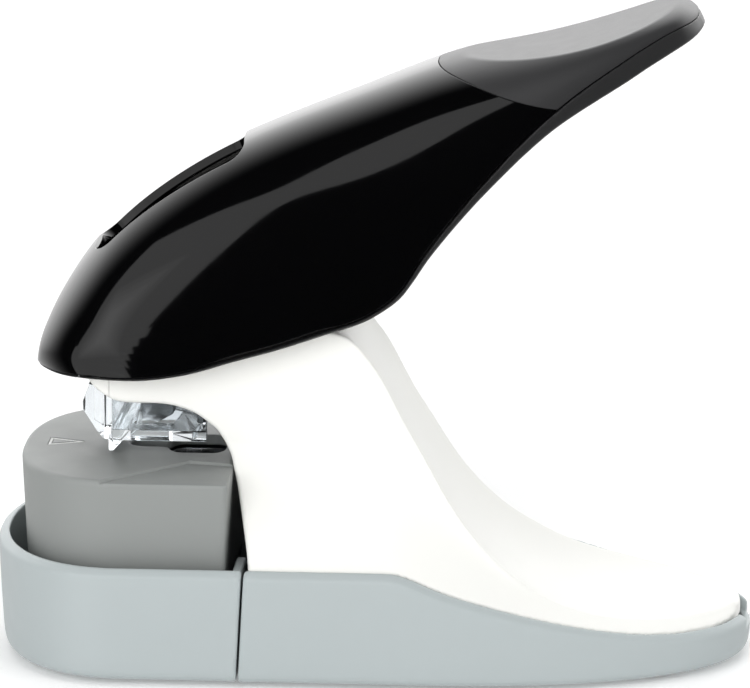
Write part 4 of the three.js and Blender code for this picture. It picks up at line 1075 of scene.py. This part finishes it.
def orient(P, N, tris):
    out = []
    for t in tris:
        a, b, c = P[t[0]], P[t[1]], P[t[2]]
        if np.dot(np.cross(b - a, c - a), N[t[0]] + N[t[1]] + N[t[2]]) < 0:
            out.append(list(reversed(t)))
        else:
            out.append(list(t))
    return out


STEP = 0.65


def make_cover():
    r = 0.16
    s, v, tris, nv, vrow = cover_patch(STEP, r)
    y, t = lever_point(s, v)
    P = world_pt(s, y, t)
    N = world_dir(lever_normal(s, y, t))
    tris = orient(P, N, tris)
    # close the nose on a pole
    first = np.isclose(s, S0 + 0.3, atol=1e-6)
    ring = [i for i in np.nonzero(first)[0]]
    ring.sort(key=lambda i: v[i])
    pole_s = S0 + 0.02
    yp, tp = lever_point(np.array([pole_s]), np.array([0.5]))
    pole = world_pt(np.array([pole_s]), yp * 0, edge_t(np.array([pole_s])) + 0.25)[0]
    P = np.vstack([P, pole])
    N = np.vstack([N, world_dir(np.array([-1.0, 0, 0.25]) / math.hypot(1, 0.25))])
    k = len(P) - 1
    extra = [[ring[i], ring[i + 1], k] for i in range(len(ring) - 1)]
    extra = orient(P, N, extra)
    return thick_shell("lever_cover_skin", P, N, tris + extra, COVER_WALL, r)


def dish_z(x):
    cx, cz, r = SCOOP
    return cz - np.sqrt(np.maximum(r * r - (x - cx) ** 2, 1.0))


def make_pad():
    r = 0.16
    step = STEP * 0.5
    nv = int(60 / step / 2) * 2
    v = np.linspace(r / 56.0, 1 - r / 56.0, nv + 1)
    nu = int(52 / step)
    u = np.linspace(0, 1, nu + 1)
    u = 1 - (0.35 * (1 - u) ** 2 + 0.65 * (1 - u))
    uu, vv = np.meshgrid(u, v, indexing="ij")
    start = np.interp(vv, v_tab, seam_tab) + r + 0.05
    s = start + (S1 - 0.3 - start) * uu
    y, t = lever_point(s, vv)
    P = world_pt(s, y, t).reshape(-1, 3)
    N = world_dir(lever_normal(s, y, t)).reshape(-1, 3)
    # palm dish, with a soft rim
    zd = dish_z(P[:, 0])
    k = 0.22
    z = P[:, 2]
    zn = smin(z, zd, k)
    wgt = np.clip(0.5 + (z - zd) / (2 * k), 0, 1)
    cx, cz, rr = SCOOP
    slope = (P[:, 0] - cx) / np.sqrt(np.maximum(rr * rr - (P[:, 0] - cx) ** 2, 1.0))
    nd = np.stack([-slope, 0 * slope, 1 + 0 * slope], 1)
    nd /= np.linalg.norm(nd, axis=1)[:, None]
    N2 = N * (1 - wgt)[:, None] + nd * wgt[:, None]
    N2 /= np.linalg.norm(N2, axis=1)[:, None]
    P[:, 2] = zn
    tris = []
    W = nv + 1
    for i in range(nu):
        for j in range(nv):
            a, b, c, d = i * W + j, i * W + j + 1, (i + 1) * W + j + 1, (i + 1) * W + j
            tris += [[a, b, c], [a, c, d]]
    pole_s = S1 - 0.02
    pole = world_pt(np.array([pole_s]), np.array([0.0]), edge_t(np.array([pole_s])) + 0.2)[0]
    P = np.vstack([P, pole])
    N2 = np.vstack([N2, world_dir(np.array([1.0, 0, 0.2]) / math.hypot(1, 0.2))])
    k_ = len(P) - 1
    tris += [[nu * W + j, nu * W + j + 1, k_] for j in range(nv)]
    tris = orient(P, N2, tris)
    return thick_shell("palm_pad_skin", P, N2, tris, COVER_WALL, r)


def lever_st(x, z):
    return CA * x + SA * z, -SA * x + CA * z


def underframe_f(x, y, z):
    """Rim band below the cover, lip inside it and the floor under the handle."""
    s, t = lever_st(x, z)
    ay = np.abs(y)
    sc = np.clip(s, S0 + 0.05, S1 - 0.05)
    w = lever_w(sc)
    te, b = edge_t(sc), band_d(sc)
    e = 0.1
    dw = (lever_w(np.clip(sc + e, S0, S1)) - lever_w(np.clip(sc - e, S0, S1))) / (2 * e)
    dte = edge_t.slope(sc)
    over = 3 * np.maximum(np.maximum(s - (S1 - 0.12), (S0 + 0.12) - s), 0)
    nrm = np.sqrt(1 + dw * dw)
    # outer face leans in towards the bottom
    depth = np.clip((te - t) / np.maximum(b, 0.3), 0, 1)
    lean = (0.0 + np.minimum(1.2, 0.12 + b * 0.38) * depth ** 1.9)
    outer = (ay - (w - lean)) / nrm + over
    inner_lip = (ay - (w - COVER_WALL - 0.35)) / nrm + over
    k = np.sqrt(1 + dte * dte)
    up = (t - (te - 0.22)) / k
    up_lip = (t - (te + np.minimum(2.2, 0.8 * lever_h(sc) - 2.0))) / k
    down = ((te - b) - t) / k
    band = smax(smax(outer, up, 0.15), down, 0.45)
    lip = smax(smax(inner_lip, up_lip, 0.2), down, 0.3)
    f = np.minimum(band, lip)
    # front opening, and trough over the handle floor
    s_open0, s_open1 = S0 + 2.9, to_st([[8.4, 67.6]])[0][0]
    op = np.maximum((ay - (w - COVER_WALL - 1.3)) / nrm, np.maximum(s_open0 - s, s - s_open1))
    tr = np.maximum(np.maximum((ay - (w - COVER_WALL - 1.6)) / nrm, ((te - b + 1.6) - t) / k), np.maximum(to_st([[12, 72]])[0][0] - s, s - (S1 - 5)))
    f = smax(f, -op, 0.3)
    f = smax(f, -tr, 0.3)
    pocket = np.minimum(sd_box(x, y, z, (-46, -35, 11.3, 12.5, 44, 62)), sd_box(x, y, z, (-46, -35, -12.5, -11.3, 44, 62)))
    return np.maximum(f, -pocket)


# ------------------------------------------------------------------ make the pieces
H = 0.42

cover = finish_piece(make_cover(), "lever", "lever_cover", "gloss")
pad = finish_piece(make_pad(), "lever", "palm_pad", "pad")
under = finish_piece(implicit("lever_underframe_skin", underframe_f, (-55, -18, 43), (52, 18, 107), H * 0.68), "lever", "lever_underframe", "frame_black")
body = finish_piece(implicit("body_shell_skin", body_f, (-49, -27, 4), (62, 27, 57), H), "stand", "body_shell", "white")
rear = finish_piece(implicit("base_rear_skin", base_rear_f, (-21.5, -28, -0.5), (62.5, 28, 21), H), "stand", "base_rear", "base")
front = finish_piece(implicit("base_front_skin", base_front_f, (-61.5, -28, -0.5), (-17.5, 28, 21), H), "stand", "base_front", "base")
pod = finish_piece(implicit("pod_housing_skin", pod_f, (-57.5, -24, 2.5), (-20.5, 24, 33.5), H * 0.62), "stand", "pod_housing", "pod")

# the outline arrow is filled in a lighter grey
A0, A1, A2 = (-52.0, 1.75), (-52.0, -1.75), (-47.0, 0.0)


def tri_ring(g):
    c = np.array([-50.3, 0.0])
    P = np.array([A0, A1, A2])
    E = []
    for i in range(3):
        a, b = P[i], P[(i + 1) % 3]
        t = (b - a) / np.linalg.norm(b - a)
        nrm = np.array([t[1], -t[0]])
        if nrm @ (a - c) < 0:
            nrm = -nrm
        E.append((nrm, nrm @ a + g))
    out = []
    for i in range(3):
        (n1, d1), (n2, d2) = E[i - 1], E[i]
        out.append(np.linalg.solve(np.array([n1, n2]), np.array([d1, d2])))
    return out


ring_o, ring_i = tri_ring(0.2), tri_ring(-0.2)
av, af = [], []
for z_ in (32.42, 32.55):
    for ring_ in (ring_o, ring_i):
        for q_ in ring_:
            av.append((q_[0], q_[1], z_))
for i in range(3):
    j = (i + 1) % 3
    af += [(6 + i, 6 + j, 9 + j, 9 + i), (0 + i, 3 + i, 3 + j, 0 + j), (i, j, 6 + j, 6 + i), (3 + i, 9 + i, 9 + j, 3 + j)]
arrow = new_mesh("pod_arrow_fill", np.array(av), af, smooth=False)
bm_ = bmesh.new()
bm_.from_mesh(arrow.data)
bmesh.ops.recalc_face_normals(bm_, faces=bm_.faces)
bm_.to_mesh(arrow.data)
bm_.free()
finish_piece(arrow, "stand", None, "arrow")

# mechanical pieces keep their CAD shape, with rounded edges
for node, body_name, slot_name, material, width, seg in [
    ("throat_liner", "stand", "dark_plastic", "dark", 0.3, 3),
    ("frame_plate_near", "stand", "frame_steel", "steel", 0.12, 2),
    ("frame_plate_far", "stand", "frame_steel", "steel", 0.12, 2),
    ("spring_seat", "stand", "frame_steel", "steel", 0.15, 2),
    ("floor_plate", "stand", "frame_steel", "steel", 0.15, 2),
    ("clear_guide", "stand", "clear_plastic", "clear", 0.14, 2),
    ("die_plate", "stand", "die_steel", "blade", 0.12, 2),
    ("die_block", "stand", "dark_plastic", "acetal", 0.2, 2),
    ("lever_bracket", "lever", "frame_steel", "steel", 0.12, 2),
    ("window_well", "lever", "dark_plastic", "well", 0.2, 3),
    ("punch_holder", "punch", "dark_plastic", "acetal", 0.25, 3),
    ("tongue_blade", "punch", "blade_steel", "blade", 0.08, 2),
    ("slit_knife", "punch", "blade_steel", "blade", 0.06, 2),
    ("tongue_folder", "folder", "folder_plastic", "acetal", 0.2, 3),
]:
    finish_piece(refined(node, node + "_edged", width, seg), body_name, node, material)

for name, x, z, r, y0, y1, body_name, node, slot_name, material in [
    ("pivot_pin_turned", PIVOT[0], PIVOT[1], PIVOT[2], -12.6, 12.6, "stand", "pivot_pin", "pin_steel", "pin"),
    ("drive_pin_turned", -28, 53.9, 1.5, -6.1, 6.1, "lever", "drive_pin", "pin_steel", "pin"),
    ("folder_pin_turned", -31.6, 21.5, 1.05, -6.6, 6.6, "stand", "folder_pin", "pin_steel", "pin"),
    ("frame_spacer_top_turned", -9.6, 44.5, 2.2, -7.3, 7.3, "stand", "frame_spacer_top", "frame_steel", "steel"),
    ("frame_spacer_mid_turned", -8.2, 27, 2.2, -7.3, 7.3, "stand", "frame_spacer_mid", "frame_steel", "steel"),
    ("frame_spacer_low_turned", -8, 12, 2.2, -7.3, 7.3, "stand", "frame_spacer_low", "frame_steel", "steel"),
]:
    finish_piece(lathe(name, rod_profile(r, y0, y1, 0.25), (x, 0, z), "Y"), body_name, node, material)

for i, (x, y) in enumerate(FEET):
    prof = [(0, 1.4), (3.9, 1.4), (4.0, 1.3), (4.0, 0.45), (3.93, 0.2), (3.75, 0.05), (3.5, 0.0), (2.6, 0.0), (2.45, 0.06), (2.35, 0.2), (1.0, 0.25), (0, 0.25)]
    finish_piece(lathe(f"rubber_foot_{i + 1}_turned", prof, (x, y, 0)), "stand", f"rubber_foot_{i + 1}", "rubber")


def screw_f(x0, y0, zh, zt):
    def f(x, y, z):
        rr = np.sqrt((x - x0) ** 2 + (y - y0) ** 2)
        head = smax(rr - 2.35, np.abs(z - zh - 0.55) - 0.55, 0.35)
        thread = 0.1 * np.sin(2 * np.pi * z / 0.7 + np.arctan2(y - y0, x - x0))
        shank = smax(rr - 1.15 - thread * (z > zh + 1.4), np.maximum(zh + 0.5 - z, z - zt), 0.3)
        f_ = smin(head, shank, 0.2)
        cross = np.minimum(sd_box(x - x0, y - y0, z, (-1.3, 1.3, -0.25, 0.25, zh - 1, zh + 0.6)), sd_box(x - x0, y - y0, z, (-0.25, 0.25, -1.3, 1.3, zh - 1, zh + 0.6)))
        return smax(f_, -cross, 0.12)
    return f


for group, zh, zt, stem in ((BASE_SCREWS, 1.0, 9.0, "base_screw_"), (TRAY_SCREWS, 0.95, 3.2, "tray_screw_")):
    for i, (x, y) in enumerate(group):
        n = f"{stem}{i + 1}"
        o = implicit(n + "_turned", screw_f(x, y, zh, zt), (x - 2.8, y - 2.8, zh - 0.5), (x + 2.8, y + 2.8, zt + 0.5), 0.12)
        finish_piece(o, "stand", n, "screw")


def make_spring():
    x0, z0, z1, R, r, turns = -17.0, 40.1, 63.0, 3.5, 0.55, 7
    steps, m = 48 * turns, 12
    e = 0.9 / turns

    def centre(t):
        rise = 0.06 * (t / e) if t < e else 1 - 0.06 * ((1 - t) / e) if t > 1 - e else 0.06 + 0.88 * (t - e) / (1 - 2 * e)
        a = t * turns * 2 * math.pi
        return np.array([x0 + R * math.cos(a), R * math.sin(a), z0 + r + (z1 - z0 - 2 * r) * rise])
    C = np.array([centre(i / steps) for i in range(steps + 1)])
    T = np.gradient(C, axis=0)
    T /= np.linalg.norm(T, axis=1)[:, None]
    verts, faces = [], []
    scale = [1.0] * (steps + 1)
    for i in range(steps + 1):
        rad = np.array([C[i, 0] - x0, C[i, 1], 0])
        rad /= np.linalg.norm(rad)
        up = np.cross(T[i], rad)
        for j in range(m):
            a = 2 * math.pi * j / m
            verts.append(C[i] + (rad * math.cos(a) + up * math.sin(a)) * r * scale[i])
    for i in range(steps):
        for j in range(m):
            a, b = i * m + j, i * m + (j + 1) % m
            faces.append((a, a + m, b + m, b))
    faces.append(tuple(range(m)))
    faces.append(tuple(reversed(range(steps * m, steps * m + m))))
    o = new_mesh("return_spring_wire", np.array(verts), faces)
    bm = bmesh.new()
    bm.from_mesh(o.data)
    bmesh.ops.recalc_face_normals(bm, faces=bm.faces)
    bm.to_mesh(o.data)
    bm.free()
    return o


spring = finish_piece(make_spring(), "stand", "return_spring", "spring")
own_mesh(spring)

# ------------------------------------------------------------------ camera, floor, light
AZ, EL, DIST = math.radians(4), math.radians(15), 0.9
target = Vector((0, 0, 0.0496))
back = Vector((math.sin(AZ) * math.cos(EL), -math.cos(AZ) * math.cos(EL), math.sin(EL)))
cam_data = bpy.data.cameras.new("camera")
cam_data.sensor_width = 36.0
cam_data.lens = 272.16
cam_data.clip_start, cam_data.clip_end = 0.01, 100
cam = bpy.data.objects.new("camera", cam_data)
cam.location = target + back * DIST
cam.rotation_mode = "QUATERNION"
cam.rotation_quaternion = (-back).to_track_quat("-Z", "Y")
scene.collection.objects.link(cam)
scene.camera = cam

floor = new_mesh("floor", np.array([(-9000, -9000, -0.02), (9000, -9000, -0.02), (9000, 9000, -0.02), (-9000, 9000, -0.02)], float), [(0, 1, 2, 3)], smooth=False)
fm, fnt, fb = principled("floor_white", (0.96, 0.96, 0.96), 0.9, 0.0, 0.0)
fb.inputs["Emission Color"].default_value = (1, 1, 1, 1)
fb.inputs["Emission Strength"].default_value = 0.16
floor.data.materials.append(fm)
floor.visible_glossy = False
floor.visible_shadow = False


def area(name, location, aim, size, power, size_y=None, glossy=True, diffuse=True, color=(1, 1, 1)):
    d = bpy.data.lights.new(name, "AREA")
    d.shape = "RECTANGLE"
    d.size = size
    d.size_y = size_y or size
    d.energy = power
    d.color = color
    o = bpy.data.objects.new(name, d)
    o.location = location
    o.rotation_mode = "QUATERNION"
    o.rotation_quaternion = (Vector(aim) - Vector(location)).to_track_quat("-Z", "Y")
    scene.collection.objects.link(o)
    o.visible_glossy = glossy
    o.visible_diffuse = diffuse
    return o


area("fill_front", (-0.5, -1.6, 0.7), (0, 0, 0.04), 1.4, 18.5, glossy=False)
area("fill_left", (-1.6, -0.7, 0.55), (0, 0, 0.03), 1.0, 2.4, glossy=False)
area("fill_right", (1.3, -0.9, 0.9), (0, 0, 0.04), 1.2, 8.5, glossy=False)
area("fill_top", (0, 0.1, 1.8), (0, 0, 0), 1.8, 12.5, glossy=False)
area("fill_back", (0.2, 1.6, 0.9), (0, 0, 0.04), 1.4, 9, glossy=False)


def card(name, az0, az1, el0, el1, radiance, dist=1.6):
    """A soft box seen only in reflections, given by its compass of directions: az from -Y towards +X, el from the floor."""
    az, el = math.radians((az0 + az1) / 2), math.radians((el0 + el1) / 2)
    d = Vector((math.sin(az) * math.cos(el), -math.cos(az) * math.cos(el), math.sin(el)))
    w = 2 * dist * math.tan(math.radians(az1 - az0) / 2) * math.cos(el)
    h = 2 * dist * math.tan(math.radians(el1 - el0) / 2)
    centre = Vector((-0.01, -0.013, 0.07))
    return area(name, centre + d * dist, centre, w, radiance * math.pi * w * h, h, glossy=True, diffuse=False)


card("softbox", -57, -20, -4, 37, 0.95)
for i in range(11):
    card(f"softbox_low_{i + 1}", -57.5 - 0.9 * i, -21 - 1.65 * i, -8 - 4 * i, -4 - 4 * i, 0.95)
for i, grow in enumerate((0, 2.5, 5, 7.5, 10)):
    card(f"softbox_core_{i + 1}", -44 - grow * 0.8, -38 + grow * 0.8, -8 - grow, 12 + grow, 0.16, 1.58 - 0.01 * i)

world = bpy.data.worlds.new("studio")
scene.world = world
world.use_nodes = True
wn, wl = world.node_tree.nodes, world.node_tree.links
wn.clear()
out = wn.new("ShaderNodeOutputWorld")
bg_cam = wn.new("ShaderNodeBackground")
bg_cam.inputs["Color"].default_value = (1, 1, 1, 1)
bg_cam.inputs["Strength"].default_value = 1.0
bg_env = wn.new("ShaderNodeBackground")
bg_env.inputs["Strength"].default_value = 1.0
geo = wn.new("ShaderNodeTexCoord")
sep = wn.new("ShaderNodeSeparateXYZ")
wl.new(geo.outputs["Generated"], sep.inputs["Vector"])
rng = wn.new("ShaderNodeMapRange")
rng.interpolation_type = "SMOOTHSTEP"
rng.inputs["From Min"].default_value = -0.3
rng.inputs["From Max"].default_value = 0.72
rng.inputs["To Min"].default_value = 0.004
rng.inputs["To Max"].default_value = 2.6
wl.new(sep.outputs["Y"], rng.inputs["Value"])
low = wn.new("ShaderNodeMapRange")
low.inputs["From Min"].default_value = -0.2
low.inputs["From Max"].default_value = 0.4
low.inputs["To Min"].default_value = 0.31
low.inputs["To Max"].default_value = 1.25
wl.new(sep.outputs["Z"], low.inputs["Value"])
both = wn.new("ShaderNodeMath")
both.operation = "MULTIPLY"
wl.new(rng.outputs["Result"], both.inputs[0])
wl.new(low.outputs["Result"], both.inputs[1])
comb = wn.new("ShaderNodeCombineColor")
for c in ("Red", "Green", "Blue"):
    wl.new(both.outputs[0], comb.inputs[c])
wl.new(comb.outputs["Color"], bg_env.inputs["Color"])
lp = wn.new("ShaderNodeLightPath")
bg_soft = wn.new("ShaderNodeBackground")
bg_soft.inputs["Color"].default_value = (1, 1, 1, 1)
bg_soft.inputs["Strength"].default_value = 0.3
mixg = wn.new("ShaderNodeMixShader")
gl = wn.new("ShaderNodeMath")
gl.operation = "MAXIMUM"
wl.new(lp.outputs["Is Glossy Ray"], gl.inputs[0])
gl.inputs[1].default_value = 0.0
wl.new(gl.outputs[0], mixg.inputs["Fac"])
wl.new(bg_soft.outputs["Background"], mixg.inputs[1])
wl.new(bg_env.outputs["Background"], mixg.inputs[2])
mixs = wn.new("ShaderNodeMixShader")
seen = wn.new("ShaderNodeMath")
seen.operation = "MAXIMUM"
wl.new(lp.outputs["Is Camera Ray"], seen.inputs[0])
wl.new(lp.outputs["Is Transmission Ray"], seen.inputs[1])
wl.new(seen.outputs[0], mixs.inputs["Fac"])
wl.new(mixg.outputs["Shader"], mixs.inputs[1])
wl.new(bg_cam.outputs["Background"], mixs.inputs[2])
wl.new(mixs.outputs["Shader"], out.inputs["Surface"])

scene.view_settings.view_transform = "Standard"
scene.view_settings.look = "None"
scene.view_settings.exposure = 0.0
scene.view_settings.gamma = 1.0
